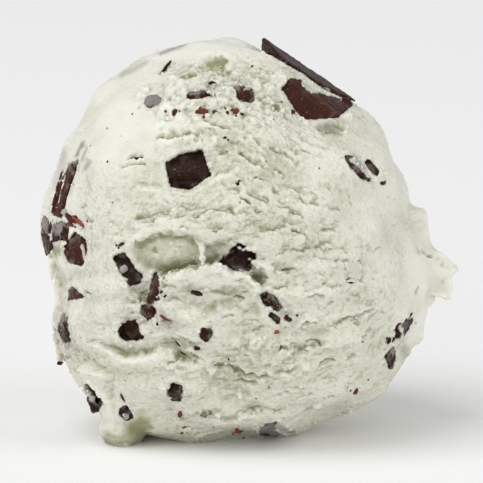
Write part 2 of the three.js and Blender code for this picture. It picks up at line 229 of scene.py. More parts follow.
HOLLOWS = [
    (1, -2.2, 28.8, 2.4, 1.7, 1.5), (1, -6.2, 27.5, 1.8, 1.2, 1.0), (1, -7.4, 11.6, 5.4, 4.6, 1.6),
    (1, -8.6, -18.6, 3.2, 2.0, 1.2), (1, 16.6, 18.4, 2.2, 1.6, 0.8), (1, -3.0, -9.3, 6.5, 2.4, 0.9),
    (-1, -9.0, 6.0, 5.0, 3.4, 2.4), (-1, 11.0, -3.0, 4.2, 2.6, 1.8), (-1, 2.0, 19.0, 3.4, 2.0, 1.4),
    (-1, 16.0, 14.0, 3.0, 2.4, 1.2),
]
LEDGES = [
    (1, (-12.5, 15.9), (-3.2, 16.7), 0.9),
    (1, (-16.5, 2.9), (-4.0, 4.4), 0.9),
    (1, (5.8, -4.6), (11.2, -5.6), 1.2), (1, (-7.0, -28.9), (6.5, -28.2), 0.8),
    (1, (7.0, -18.8), (16.4, -17.0), 0.9), (-1, (-16.0, 2.0), (4.0, 0.5), 1.5),
    (-1, (-2.0, -11.0), (17.0, -9.0), 1.4), (-1, (-20.0, -14.5), (-5.0, -17.5), 1.2),
    (-1, (3.0, 12.0), (15.0, 9.5), 1.0),
]
LEDGE_FADE = 4.0


def beyond_rim(u, v, rim):
    place = np.column_stack([u, v])[:, None]
    start, run = rim[None, :-1], rim[None, 1:] - rim[None, :-1]
    offset = place - start
    share = np.clip((offset * run).sum(2) / (run**2).sum(2), 0, 1)
    gap = offset - share[:, :, None] * run
    distance = np.hypot(gap[:, :, 0], gap[:, :, 1])
    nearest = distance.argmin(axis=1)
    rows = np.arange(len(u))
    outside = run[0, nearest, 0] * offset[rows, nearest, 1] > run[0, nearest, 1] * offset[rows, nearest, 0]
    return np.where(outside, distance[rows, nearest], -distance[rows, nearest])


def flap_and_cavity(u, v):
    beyond = beyond_rim(u, v, FLAP_RIM)
    sunk = np.zeros(len(u))
    for middle_u, middle_v, half_width, half_height, depth in CAVITY_BOWLS:
        reach = ((u - middle_u) / half_width) ** 2 + ((v - middle_v) / half_height) ** 2
        sunk = np.maximum(sunk, depth * np.clip(2.4 * (1 - reach), 0, 1))
    flap = np.clip(1.6 - np.hypot((u + 3) / 9, (v + 9) / 7), 0, 1)
    raised = FLAP_LIFT * flap * np.exp(np.minimum(beyond, 0) / FLAP_LENGTH)
    deeper_behind_flap = 0.42 + 1.0 * np.exp(-np.maximum(beyond, 0) / 1.7)
    return np.where(beyond > 0, -sunk * deeper_behind_flap * smoothstep(beyond, 0, 0.3), raised)


def along_rim(u, v, rim):
    first, last = rim[0, 0], rim[-1, 0]
    ends = smoothstep(u, first, first + RIM_ENDS) * (1 - smoothstep(u, last - RIM_ENDS, last))
    return ends * (np.abs(v - rim[:, 1].mean()) < 8)


def torn_rim(u, v, rim, drop, fade):
    beyond = beyond_rim(u, v, rim)
    sunk = drop * np.exp(-np.maximum(beyond, 0) / fade)
    raised = 0.5 * drop * np.exp(np.minimum(beyond, 0) / 2)
    return along_rim(u, v, rim) * np.where(beyond > 0, -sunk, raised)


def ledge(u, v, start, end, drop):
    length = math.dist(start, end)
    right = ((end[0] - start[0]) / length, (end[1] - start[1]) / length)
    along = (u - start[0]) * right[0] + (v - start[1]) * right[1]
    above = (v - start[1]) * right[0] - (u - start[0]) * right[1]
    ends = smoothstep(along, 0, 3) * (1 - smoothstep(along, length - 3, length))
    raised = 0.35 * drop * ends * np.exp(np.minimum(above, 0) / 1.5)
    sunk = -drop * ends * np.exp(-np.maximum(above, 0) / LEDGE_FADE)
    return np.where(above < 0, raised, sunk)


CRISP_PLACES = [
    # u, v, half width, half height, how little the edges wander
    (-7, 9.0, 9, 3.0, 0.85), (-3, -6.0, 11, 4.5, 0.6), (-14, -18.5, 9, 2.6, 0.7), (-8, 1.5, 9, 2.5, 0.5),
]


def carving(p):
    u, v, w = p.T
    front = np.where(w >= 0, 1, -1)
    height = np.where(front > 0, flap_and_cavity(u, v), 0)
    for rim, drop, fade in TORN_RIMS:
        height += np.where(front > 0, torn_rim(u, v, rim, drop, fade), 0)
    for side, hollow_u, hollow_v, half_width, half_height, depth in HOLLOWS:
        reach = ((u - hollow_u) / half_width) ** 2 + ((v - hollow_v) / half_height) ** 2
        height -= np.where(front == side, depth * np.exp(-(reach**2)), 0)
    for side, start, end, drop in LEDGES:
        height += np.where(front == side, ledge(u, v, start, end, drop), 0)
    return height * smoothstep(np.abs(w), 0, 4)


def surface_radius(direction, wander):
    degrees = np.degrees(np.arctan2(direction[:, 1], direction[:, 0]))
    flat = np.hypot(direction[:, 0], direction[:, 1])
    ball = 1 / np.hypot(flat / outline_radius(degrees), direction[:, 2] / BALL_DEPTH)
    p = direction * ball[:, None]
    return ball + lumps(p) + drag_ridges(p) + carving(p + wander) + swelling(degrees, p[:, 2])


# %% Noise that wanders, for edges that are torn and not drawn
def ripple(points, length, seed):
    moved = points / length + np.array([3.9, 11.3, 7.7]) * seed
    return np.array([noise.noise(place) for place in moved.tolist()])


def wandering(points, length, reach, seed):
    moved = points / length + np.array([17.3, 5.1, 9.7]) * seed
    return np.array([noise.noise_vector(place) for place in moved.tolist()]) * reach


def in_front(p):
    return smoothstep(p[:, 2], -12, -6)


def placed(p, places):
    share = np.zeros(len(p))
    for u, v, half_width, half_height, most in places:
        reach = ((p[:, 0] - u) / half_width) ** 2 + ((p[:, 1] - v) / half_height) ** 2
        share = np.maximum(share, most * np.exp(-(reach**2)))
    return share * in_front(p)


# %% A cube blown up into the ball
FIRST_CUTS, SECOND_CUTS = 12, 13
deselect_all()
bpy.ops.mesh.primitive_cube_add(size=2)
scoop = bpy.context.object
scoop.name = "ice_cream"
bpy.ops.object.mode_set(mode="EDIT")
bpy.ops.mesh.select_all(action="SELECT")
bpy.ops.mesh.subdivide(number_cuts=FIRST_CUTS)
bpy.ops.mesh.subdivide(number_cuts=SECOND_CUTS)
bpy.ops.object.mode_set(mode="OBJECT")
cube = np.empty(len(scoop.data.vertices) * 3, np.float32)
scoop.data.vertices.foreach_get("co", cube)
direction = np.tan(cube.reshape(-1, 3).astype(float) * math.pi / 4)
direction /= np.linalg.norm(direction, axis=1)[:, None]
sphere = direction * BALL_DEPTH
wander = wandering(sphere, 3.0, 1.3, 1) + wandering(sphere, 1.1, 0.6, 2) + wandering(sphere, 0.5, 0.25, 3)
wander *= 1 - placed(sphere, CRISP_PLACES)[:, None]
write_points(scoop, direction * surface_radius(direction, wander)[:, None])
print("ball:", len(scoop.data.polygons), "faces")

# %% [markdown]
# ## The lip and the foot
#
# The spoon's rim squeezes a lip out of the ball at the right. It is thickest where it leaves the
# ball, and its ragged edge ends in drips. The foot is ice cream that slumped at the lower left.
# Each is extruded from one outline, ring by ring, and then joined to the ball.

# %% The lip, extruded from its ragged edge
LIP_EDGE = [
    (25, 9), (28.4, 7.4), (29.0, 6.9), (31.0, 5.2), (32.3, 5.4), (33.0, 4.4), (33.0, 2.0),
    (33.6, -0.6), (34.6, -1.8), (35.7, -2.1), (36.6, -3.2), (38.2, -4.6), (38.3, -5.2),
    (37.2, -5.8), (36.6, -6.6), (36.8, -9.2), (36.2, -10.0), (35.4, -9.6), (35.0, -8.4),
    (34.4, -9.0), (33.6, -10.9), (33.0, -11.0), (32.9, -12.4), (32.4, -14.2), (32.5, -16.6),
    (31.4, -17.6), (30.6, -17.4), (29.9, -19.8), (24, -22),
]
LIP_THICKNESS = 4.4
LIP_ROUNDING = 2.6
LIP_LAYERS = 8


def rounded(outline):
    corners = np.array(outline, float)
    following = np.roll(corners, -1, axis=0)
    cut = np.stack([0.75 * corners + 0.25 * following, 0.25 * corners + 0.75 * following], axis=1)
    return cut.reshape(-1, 2)


def outline_face(name, outline, w):
    corners = np.array([(u, v, w) for u, v in outline])
    mesh = bpy.data.meshes.new(name)
    mesh.from_pydata(to_row(corners).tolist(), [], [range(len(corners))])
    made = bpy.data.objects.new(name, mesh)
    bpy.context.scene.collection.objects.link(made)
    return made


lip = outline_face("lip", rounded(LIP_EDGE), -LIP_THICKNESS / 2)
pick(lip)
bpy.ops.object.mode_set(mode="EDIT")
bpy.ops.mesh.select_all(action="SELECT")
layer_step = FACE_AXES[2] * LIP_THICKNESS / LIP_LAYERS * MM
for _ in range(LIP_LAYERS):
    bpy.ops.mesh.extrude_region_move(TRANSFORM_OT_translate={"value": layer_step.tolist()})
bpy.ops.mesh.select_all(action="SELECT")
bpy.ops.mesh.normals_make_consistent(inside=False)
bpy.ops.object.mode_set(mode="OBJECT")
lip_points = read_points(lip)
flat_reach = np.hypot(lip_points[:, 0], lip_points[:, 1])
drawn_in = 1 - LIP_ROUNDING * (2 * lip_points[:, 2] / LIP_THICKNESS) ** 2 / flat_reach
lip_points[:, :2] *= drawn_in[:, None]
frill = 1.1 * np.sin(lip_points[:, 1] / 2.4 + 1) + 0.5 * np.sin(1.9 * lip_points[:, 1])
lip_points[:, 2] += frill * smoothstep(flat_reach, 29, 34) - LIP_BEHIND
write_points(lip, lip_points)

# %% The foot, extruded upwards ring by ring
FOOT = dict(x=-17.9, y=-12.2, lean=math.radians(-9), waviness=0.13)
FOOT_PROFILE = [(2.8, -1), (3.0, 0.3), (3.9, 1.5), (4.0, 2.6), (3.6, 4.2), (5.2, 8), (7.0, 13), (1.0, 18)]
FOOT_SIDES = 36
deselect_all()
bpy.ops.mesh.primitive_circle_add(vertices=FOOT_SIDES, radius=FOOT_PROFILE[0][0] * MM, fill_type="NGON")
foot = bpy.context.object
bpy.ops.object.mode_set(mode="EDIT")
bpy.ops.mesh.select_all(action="SELECT")
for (radius, height), (next_radius, next_height) in zip(FOOT_PROFILE, FOOT_PROFILE[1:]):
    rise = (next_height - height) * MM
    bpy.ops.mesh.extrude_region_move(TRANSFORM_OT_translate={"value": (0, 0, rise)})
    grow = next_radius / radius
    bpy.ops.transform.resize(value=(grow, grow, 1))
bpy.ops.mesh.select_all(action="SELECT")
bpy.ops.mesh.normals_make_consistent(inside=False)
bpy.ops.object.mode_set(mode="OBJECT")
for vertex in foot.data.vertices:
    x, y, z = vertex.co / MM
    z += FOOT_PROFILE[0][1]
    swell = 1 + FOOT["waviness"] * math.sin(3 * math.atan2(y, x) + z / 4)
    leaning = y * swell + z * math.sin(FOOT["lean"])
    vertex.co = Vector((FOOT["x"] + x * swell, FOOT["y"] + leaning, z)) * MM

# %% [markdown]
# ## Smooth and torn places
#
# The crown at the upper left, the right cheek and the underside slid under the spoon and are
# smooth as satin, and so is the wall of the deep hollow. Other places are calm: they have few
# tears, but still the grain of ice crystals. Everything else is torn, and the crown is crumbly
# like popcorn. Behind, where no place is known, the same mix comes from noise.

# %% How smooth and how crumbly each point is
SATIN_PLACES = [
    # u, v, half width, half height, how smooth
    (-18, 21, 12, 10, 1.0), (-28, 6, 4, 16, 0.8), (27, 8, 8, 17, 0.5), (20, -28, 14, 4, 0.2),
    (-10, -2.6, 7.0, 3.6, 0.5), (33, -8, 5.5, 14, 0.95), (-4, 31.5, 14, 3.0, 0.9), (-17, -30, 5, 4, 0.7),
]
CALM_PLACES = [
    (-21, 5, 6, 12, 0.2), (-22, -9, 5, 6, 0.5), (13, 11, 3.4, 2.4, 0.9), (-4, -9.5, 7, 3.6, 0.35), (-15, -18.6, 6, 2.0, 0.6),
    (-18, -26, 8, 5, 0.4), (-12, 11, 12, 2.5, 0.3),
]
CRUMB_PLACES = [
    (4, 24, 13, 6, 1.0), (-7, 24, 7, 5, 0.8), (-2, 17, 9, 5, 0.35), (-8, -15, 7, 4, 0.3), (4, -20, 10, 6, 0.3),
]


def satin_share(p):
    return placed(p, SATIN_PLACES) + smoothstep(ripple(p, 11, 4), 0.0, 0.3) * (1 - in_front(p))


def smooth_share(p):
    return np.maximum(satin_share(p), placed(p, CALM_PLACES))


def crumbly_share(p):
    return placed(p, CRUMB_PLACES) + smoothstep(-ripple(p, 11, 4), 0.15, 0.4) * (1 - in_front(p))


# %% [markdown]
# ## Crumbs of ice cream
#
# Crumbs stand on the crown and along every torn edge. One rough ball is copied hundreds of times
# with its own size and turn, half sunk into the ice cream, and fused with it later.

# %% Scatter the crumbs
CROWN_CRUMBS = 380
PLATE_EDGE = ((5.5, 33.5), (21.0, 23.0))
RIM_CRUMBS = 130
dice = np.random.default_rng(7)
deselect_all()
bpy.ops.mesh.primitive_ico_sphere_add(subdivisions=2, radius=1)
pattern = bpy.context.object
pattern_points = np.array([tuple(vertex.co) for vertex in pattern.data.vertices])
pattern_faces = np.array([tuple(face.vertices) for face in pattern.data.polygons])
bpy.data.objects.remove(pattern)


def turned(draws):
    axes = np.linalg.qr(draws.reshape(3, 3))[0]
    return axes


def joined_balls(name, middles, sizes, roughness):
    all_points, all_faces = [], []
    for k, (middle, size) in enumerate(zip(middles, sizes)):
        stretch = dice.uniform(0.5, 1.0, 3) * size / 2
        rough = 1 + roughness * dice.uniform(-1, 1, (len(pattern_points), 1))
        all_points.append(middle + (pattern_points * rough * stretch) @ turned(dice.normal(size=9)))
        all_faces.append(pattern_faces + k * len(pattern_points))
    mesh = bpy.data.meshes.new(name)
    mesh.from_pydata(to_row(np.concatenate(all_points)).tolist(), [], np.concatenate(all_faces).tolist())
    made = bpy.data.objects.new(name, mesh)
    bpy.context.scene.collection.objects.link(made)
    return made


ball_points = read_points(scoop)
wanted = crumbly_share(ball_points) + 0.03 * (1 - smooth_share(ball_points))
wanted *= 1 - placed(ball_points, [(u, v, 1.3 * a, 1.3 * b, 1) for _, u, v, a, b, _ in HOLLOWS[:2]])
wanted *= 1 - smoothstep(ball_points[:, 1], 27.5, 29.5)
wanted *= from_line(ball_points[:, :2], *PLATE_EDGE) > 3.0
crown_crumbs = dice.choice(len(ball_points), CROWN_CRUMBS, replace=False, p=wanted / wanted.sum())
u, v, w = ball_points.T
rim_distance = beyond_rim(u, v, FLAP_RIM)
on_rim = (rim_distance > -0.6) & (rim_distance < 0.0) & (w > 0)
rim_crumbs = dice.choice(np.flatnonzero(on_rim), RIM_CRUMBS, replace=False)
crown_sizes = 1.0 + 2.3 * dice.random(CROWN_CRUMBS) ** 1.8
crumb_sizes = np.concatenate([crown_sizes, dice.uniform(0.5, 0.9, RIM_CRUMBS)])
crumb_middles = ball_points[np.concatenate([crown_crumbs, rim_crumbs])]
outward = crumb_middles / np.linalg.norm(crumb_middles, axis=1)[:, None]
crumb_middles = crumb_middles - outward * 0.10 * crumb_sizes[:, None]
crumbs = joined_balls("crumbs", crumb_middles, crumb_sizes, 0.42)
print(len(crumb_sizes), "crumbs of ice cream")

# %% The strand that still hangs across the hollow, and the drips at the left edge
STRANDS = [
    # start (u, v, w), end (u, v, w), thickness
    ((-4.7, 0.2, 29.2), (-4.3, -4.8, 30.8), 0.95),
    ((-29.6, -3.6, 4.0), (-29.6, -6.3, 3.0), 0.9),
    ((-28.6, -8.0, 1.4), (-28.5, -11.3, 3.6), 1.2),
    ((-29.0, -14.0, 3.2), (-28.4, -20.2, -0.6), 1.2),
    ((36.2, -6.4, -2.4), (36.3, -9.4, -2.4), 1.5),
    ((33.4, -9.4, -2.4), (33.4, -10.6, -2.4), 1.4),
]
BEADS = 24
strand_middles = np.concatenate([np.linspace(start, end, BEADS) for start, end, _ in STRANDS])
strand_sizes = np.repeat([thick for _, _, thick in STRANDS], BEADS) * dice.uniform(0.9, 1.5, len(strand_middles))
strands = joined_balls("strands", strand_middles, strand_sizes, 0.05)

# %% [markdown]
# ## One skin over everything
#
# The ball, the lip, the foot and the crumbs become one skin by a voxel remesh. It joins closed
# shapes that overlap into one, and gives even faces small enough to carve. The faces are finer
# than the finished piece may have: a decimation at the end keeps them where the relief needs them.

# %% Join and remesh
VOXEL = 0.25
deselect_all()
for piece in (lip, foot, crumbs, strands, scoop):
    piece.select_set(True)
bpy.context.view_layer.objects.active = scoop
bpy.ops.object.join()
scoop.name = "ice_cream"
apply_modifier(scoop, "REMESH", mode="VOXEL", voxel_size=VOXEL * MM)
print("one skin:", len(scoop.data.vertices), "points")
ends = np.empty(len(scoop.data.edges) * 2, np.int32)
scoop.data.edges.foreach_get("vertices", ends)
edge_start, edge_end = ends.reshape(-1, 2).T
neighbours = np.bincount(ends, minlength=len(scoop.data.vertices))[:, None]


def neighbour_mean(points):
    total = np.zeros_like(points)
    for axis in range(3):
        total[:, axis] = np.bincount(edge_start, points[edge_end, axis], len(points))
        total[:, axis] += np.bincount(edge_end, points[edge_start, axis], len(points))
    return total / neighbours


# %% Fill the creases where the lip and the foot leave the ball
FILL_TURNS = 8
FILL_ROUNDS = 12
FOOT_NECK = (-16.5, -27.5, -6.5)
skin = read_points(scoop)
degrees = np.degrees(np.arctan2(skin[:, 1], skin[:, 0]))
at_lip = smoothstep(degrees, -44, -36) * (1 - smoothstep(degrees, 12, 20)) * smoothstep(skin[:, 0], 22, 26)
at_foot = np.linalg.norm(skin - FOOT_NECK, axis=1) < 10
filled = np.maximum(at_lip, at_foot)[:, None]
for _ in range(FILL_TURNS):
    normals = read_normals(scoop)
    for _ in range(FILL_ROUNDS):
        outward_share = ((neighbour_mean(skin) - skin) * normals).sum(axis=1)[:, None]
        skin = skin + filled * np.maximum(outward_share, 0) * normals
    write_points(scoop, skin)
print("creases filled at the lip and the foot")

# %% [markdown]
# ## Scales
#
# Pulled ice cream tears into scales that lie like roof tiles upside down: the ice above each tear
# is sunk, deepest right at its lower edge, and the edge itself stands out and catches the light.
# Each scale is a line on the skin, with the drop above it. The large ones are listed, and
# the small ones follow the drag of the spoon, which ran down to the right above the middle and
# almost level below it. Where two scales meet, the deeper one wins, so the edges stay crisp.

# %% A scale on the skin
skin = read_points(scoop)
smooth = smooth_share(skin)
crumbly = crumbly_share(skin)
torn = 1 - smooth
print(f"smooth share {smooth.mean():.2f}, crumbly share {crumbly.mean():.2f}")
skin_surface = BVHTree.FromObject(scoop, bpy.context.evaluated_depsgraph_get())
skin_tree = KDTree(len(skin))
for index, point in enumerate(skin.tolist()):
    skin_tree.insert(point, index)
skin_tree.balance()
fine_wander = wandering(skin, 1.6, 0.6, 5) + wandering(skin, 0.7, 0.35, 6)
fine_wander *= 1 - 0.7 * placed(skin, CRISP_PLACES)[:, None]
sunk = np.zeros(len(skin))
raised = np.zeros(len(skin))
curl = np.zeros((len(skin), 3))


WIDER = 1.08


OUTSIDE = 60.0


def draw_places(count):
    headings = dice.normal(size=(count, 3))
    headings /= np.linalg.norm(headings, axis=1)[:, None]
    starts = to_row(headings * OUTSIDE)
    inward = -headings @ FACE_AXES
    hits = [skin_surface.ray_cast(Vector(start), Vector(way))[0] for start, way in zip(starts, inward)]
    places = to_face(np.array(hits))
    return places, np.array([skin_tree.find(place)[1] for place in places])


def on_skin(side, u, v):
    start = to_row(np.array([[u, v, side * OUTSIDE]]))[0]
    hit = skin_surface.ray_cast(Vector(start), Vector(-side * FACE_AXES[2]))[0]
    if hit is None:
        hit = skin_surface.find_nearest(Vector(to_row(np.array([[u, v, 0.0]]))[0]))[0]
    return to_face(np.array(hit))


def scale(start, end, drop, width, rim=0.35, bow=0.0, sharp=0.22):
    width = WIDER * width
    middle = (start + end) / 2
    length = np.linalg.norm(end - start)
    outward = middle / np.linalg.norm(middle)
    right = end - start - outward * np.dot(end - start, outward)
    right /= np.linalg.norm(right)
    upward = np.cross(outward, right)
    near = np.array([hit[1] for hit in skin_tree.find_range(middle, length / 2 + width + abs(bow))])
    if not len(near):
        return
    offset = skin[near] - middle + fine_wander[near]
    along = offset @ right
    above = offset @ upward - bow * (1 - (2 * along / length) ** 2)
    taper = min(1.2, length / 3)
    ends = 1 - smoothstep(np.abs(along), length / 2 - taper, length / 2)
    slope = 1 - np.clip(above / width, 0, 1) ** 1.3
    pit = drop * ends * slope * smoothstep(above, 0, sharp)
    edge = rim * drop * ends * np.exp(-np.abs(above - 0.05) / 0.25) * (above < 0.3)
    sunk[near] = np.maximum(sunk[near], pit)
    raised[near] = np.maximum(raised[near], edge)
    curl[near] += (0.5 * edge)[:, None] * upward


# %% Scales placed one by one, on the face
PLACED_SCALES = [
    # the crown's two dimples, and the ridge behind them
    (-4.6, 27.6, -0.2, 27.5, 1.0, 2.2), (-7.6, 26.8, -4.8, 26.6, 0.7, 1.6), (-12.5, 27.2, -8.6, 28.0, 0.5, 1.2),
    # above the chunk of chocolate
    (-16.8, 12.9, -14.0, 13.3, 1.3, 0.9),
    (-12.4, 15.8, -8.0, 16.6, 0.9, 1.3), (-8.2, 16.6, -3.4, 16.9, 0.8, 1.3),
    # arched ridges over the hollow
    (-17.0, 2.2, -8.0, 4.9, 0.6, 1.1), (-9.0, 4.6, 1.6, 3.4, 0.7, 1.3), (-13.4, 3.4, -9.6, 3.9, 0.6, 1.2), (-16.6, 2.8, -14.6, 2.4, 0.5, 0.9), (-19.2, 0.6, -16.4, 1.6, 0.5, 0.9),
    (-10.0, 5.6, -4.4, 5.4, 0.7, 1.3), (-4.2, 4.2, 1.6, 4.0, 0.8, 1.5), (-8.6, 1.6, -6.0, 1.2, 0.6, 1.0),
    (-0.8, 8.0, 1.8, 7.2, 0.8, 1.1), (1.4, 6.4, 3.4, 5.4, 0.9, 1.0), (-10.4, 6.9, -6.2, 6.8, 0.5, 0.9),
    (-13.0, 4.6, -7.0, 5.0, 0.4, 0.9), (-7.4, 2.9, -4.4, 2.5, 0.5, 0.9), (-4.6, 1.4, -1.0, 1.6, 0.5, 1.1),
    # comma tears that run down to the right
    (3.2, 16.7, 5.6, 14.9, 0.8, 0.9), (6.2, 15.1, 8.2, 13.9, 0.8, 0.8), (9.4, 16.5, 11.4, 15.1, 0.8, 0.8),
    (11.3, 14.9, 13.1, 13.8, 0.7, 0.8), (8.4, 14.3, 10.2, 12.6, 0.9, 0.9), (0.8, 14.0, 5.4, 11.1, 0.9, 1.2),
    (3.6, 9.9, 5.6, 9.2, 0.8, 0.8), (-0.2, 16.0, 1.6, 15.1, 0.7, 0.8), (9.0, 8.5, 11.9, 6.7, 0.8, 1.1),
    (12.6, 5.5, 15.1, 5.1, 1.1, 1.1), (3.2, 4.7, 5.6, 3.7, 0.8, 0.9), (9.0, 3.7, 12.6, 3.1, 0.8, 0.9),
    (9.6, 1.5, 11.8, 0.8, 0.8, 0.8), (11.0, 0.8, 13.2, -0.1, 0.7, 0.8), (14.2, 1.5, 17.6, 0.6, 0.8, 0.9),
    (15.0, 4.9, 18.6, 4.1, 0.5, 0.9), (6.6, 11.6, 8.6, 9.8, 0.7, 0.9), (4.8, 7.2, 6.4, 5.6, 0.8, 0.8),
    (6.4, 8.4, 7.8, 6.6, 0.7, 0.8), (7.6, 6.6, 9.2, 5.2, 0.6, 0.8), (5.2, 18.6, 7.0, 17.6, 0.6, 0.8),
    # level tears lower down and to the right
    (16.8, -3.6, 19.8, -4.1, 0.9, 0.8), (23.6, -2.0, 25.2, -1.5, 0.5, 0.6), (13.4, -3.0, 16.0, -3.6, 0.7, 0.8),
    (18.7, -6.8, 20.7, -7.2, 1.3, 0.7), (15.2, -8.1, 19.0, -7.9, 0.7, 0.8), (20.9, -6.9, 22.2, -6.7, 0.8, 0.5),
    (12.4, -9.8, 16.0, -9.5, 0.7, 0.8), (16.4, -14.2, 24.0, -12.0, 0.8, 1.2), (24.0, -12.6, 26.2, -12.0, 0.6, 0.8),
    (11.0, -14.4, 14.4, -14.1, 1.2, 1.0), (7.2, -18.4, 10.8, -18.0, 1.4, 1.0), (9.8, -18.9, 13.2, -18.5, 1.0, 1.0),
    (12.4, -17.9, 16.4, -17.1, 0.8, 1.0), (14.0, -21.1, 17.6, -20.1, 0.8, 0.9), (18.4, -20.1, 21.4, -18.9, 0.7, 0.9),
    (6.8, -22.1, 11.8, -21.6, 0.8, 1.0), (10.2, -24.8, 12.4, -24.6, 0.6, 0.8), (6.6, -26.1, 10.6, -25.2, 0.8, 1.0),
    (10.6, -26.5, 14.6, -25.4, 0.8, 1.0), (1.0, -22.8, 7.0, -23.0, 0.7, 1.4), (15.0, -26.4, 17.6, -25.8, 0.6, 0.8),
    (-3.4, -20.8, 3.0, -22.8, 0.8, 1.5), (-6.8, -29.1, -1.8, -29.4, 0.8, 1.2), (2.2, -28.8, 9.4, -28.2, 0.7, 1.6),
    (6.6, -5.6, 11.2, -5.3, 1.0, 0.9), (6.4, -8.6, 9.8, -8.2, 0.8, 1.0), (0.4, -9.6, 2.6, -9.8, 0.9, 0.7),
    (-18.0, -13.0, -14.0, -13.4, 0.5, 0.9), (-6.4, 3.2, -1.4, 4.2, 0.9, 1.6),
    # folds of the lip
    (31.2, -2.4, 34.2, -3.4, 0.6, 1.4), (34.4, -3.6, 35.6, -5.0, 0.4, 1.2), (31.0, -9.8, 31.6, -7.0, 0.6, 1.0),
]
OVERHANGS = [
    # the hollow's upper edge: these run to the left, so that the drop is below them
    (-12.0, 1.3, -16.4, -0.3, 0.35, 1.4), (-6.0, 0.8, -12.4, 1.4, 0.35, 1.4), (-4.4, -0.6, -6.4, 0.7, 0.3, 1.2),
]
BRIGHT_RIMS = [
    # the flap's rim
    (-11.6, -8.4, -11.3, -6.2, 0.5, 0.5), (-11.2, -6.0, -8.2, -5.4, 0.5, 0.5),
    (-8.2, -5.4, -5.6, -4.9, 0.5, 0.5), (-5.6, -4.9, -2.8, -4.2, 0.5, 0.5), (-2.8, -4.2, 1.8, -5.2, 0.5, 0.5),
    (1.8, -5.2, 5.2, -8.2, 0.5, 0.5),
]
for u1, v1, u2, v2, drop, width in BRIGHT_RIMS:
    scale(on_skin(1, u1, v1), on_skin(1, u2, v2), drop, width, rim=1.0)
for u1, v1, u2, v2, drop, width in PLACED_SCALES + OVERHANGS:
    scale(on_skin(1, u1, v1), on_skin(1, u2, v2), drop, width, bow=0.04 * math.dist((u1, v1), (u2, v2)))
print(len(PLACED_SCALES), "scales by hand")

# %% Small scales all over, where the ice cream is torn
LARGE_SCALES = 440
SMALL_SCALES = 2300
STEEP_DRAG = math.radians(-36)
LEVEL_DRAG = math.radians(9)
LOWEST_SCALE = 1.5


def steep_share(p):
    return smoothstep(p[..., 0], -3, 5) * smoothstep(p[..., 1], 2, 8) * (p[..., 2] > 0)


def drag_heading(middle, outward, stray):
    level = np.cross((0, 1, 0), outward)
    level /= np.linalg.norm(level) + 1e-6
    rising = smoothstep(middle[0], -3, 5) * (1 - smoothstep(middle[1], -6, 2)) * (middle[2] > 0)
    turn = STEEP_DRAG * steep_share(middle) + LEVEL_DRAG * rising + stray
    return math.cos(turn) * level + math.sin(turn) * np.cross(outward, level)


dice = np.random.default_rng(11)
made_scales = 0
patches = smoothstep(ripple(skin, 5.0, 12), -0.25, 0.3)
for count, (middle, index) in enumerate(zip(*draw_places(LARGE_SCALES + 2 * SMALL_SCALES))):
    keep, size, deep, stray, arch = dice.random(5)
    if keep > torn[index] ** 2 * (0.2 + 0.8 * patches[index]) or (middle @ FACE_AXES[:, 2]) + CENTRE[2] < LOWEST_SCALE:
        continue
    outward = middle / np.linalg.norm(middle)
    heading = drag_heading(middle, outward, math.radians(40) * (stray - 0.5))
    if count < LARGE_SCALES:
        half = heading * (1.2 + 1.9 * size)
        drop = 0.36 + 0.42 * deep
        width = 0.75 + 0.5 * size
    else:
        half = heading * (0.4 + 1.2 * size**2)
        drop = 0.18 + 0.36 * deep**2
        width = 0.35 + 0.4 * size
    scale(middle - half, middle + half, drop, width, bow=0.7 * (arch - 0.5) * width)
    made_scales += 1
print(made_scales, "small scales")

# %% [markdown]
# ## Lumps and grain
#
# Between the scales the torn ice cream is lumpy, and all of it has the grain of small ice
# crystals. The size of a noise without its sign makes curds: round lumps with sharp creases
# between them.

# %% The outline of a piece of chocolate, seen face on
def outline_segments(name, side):
    shape = bmesh.new()
    shape.from_mesh(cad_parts[name].data)
    bmesh.ops.remove_doubles(shape, verts=shape.verts, dist=0.01 * MM)
    shape.normal_update()
    toward = Vector(side * FACE_AXES[2])
    found = []
    for edge in shape.edges:
        turned_to_us = [face.normal.dot(toward) > 0.02 for face in edge.link_faces]
        if any(turned_to_us) and not all(turned_to_us):
            found.append([to_face(tuple(vertex.co))[:2] for vertex in edge.verts])
    shape.free()
    return np.array(found)


def reach_inside(places, segments):
    start, end = segments[None, :, 0], segments[None, :, 1]
    offset, run = places[:, None] - start, end - start
    share = np.clip((offset * run).sum(2) / (run**2).sum(2), 0, 1)
    distance = np.linalg.norm(offset - share[:, :, None] * run, axis=2).min(axis=1)
    rises = (start[:, :, 1] > places[:, None, 1]) != (end[:, :, 1] > places[:, None, 1])
    slant = run[:, :, 0] / np.where(run[:, :, 1] == 0, 1e-9, run[:, :, 1])
    crossed = rises & (offset[:, :, 0] < slant * offset[:, :, 1])
    return np.where(crossed.sum(1) % 2 == 1, distance, -distance)


# %% Lumps and grain on the skin
def curds(points, length, seed):
    return 2.4 * np.abs(ripple(points, length, seed)) - 0.5


relief = raised - sunk
relief += 0.62 * crumbly * curds(skin + 0.5 * fine_wander, 4.2, 3)
relief += (0.42 * crumbly + 0.06 * torn) * curds(skin + fine_wander, 1.9, 4)
relief += 0.16 * torn * ripple(skin, 2.2, 8) + 0.14 * ripple(skin, 4.5, 9)
grainy = 1 - 0.75 * satin_share(skin)
relief += (0.01 + 0.10 * grainy + 0.12 * crumbly) * ripple(skin, 0.7, 10) + (0.01 + 0.09 * grainy) * ripple(skin, 0.42, 11)

# %% Keep the lumps from standing over the plate of chocolate
UNDER_PLATE = -0.3
on_plate = reach_inside(skin[:, :2], outline_segments("chip_top_plate", 1)) - 9 * (skin[:, 2] < 0)
pressed = smoothstep(on_plate, -2.5, -1.0)
relief = relief * (1 - pressed) + UNDER_PLATE * pressed

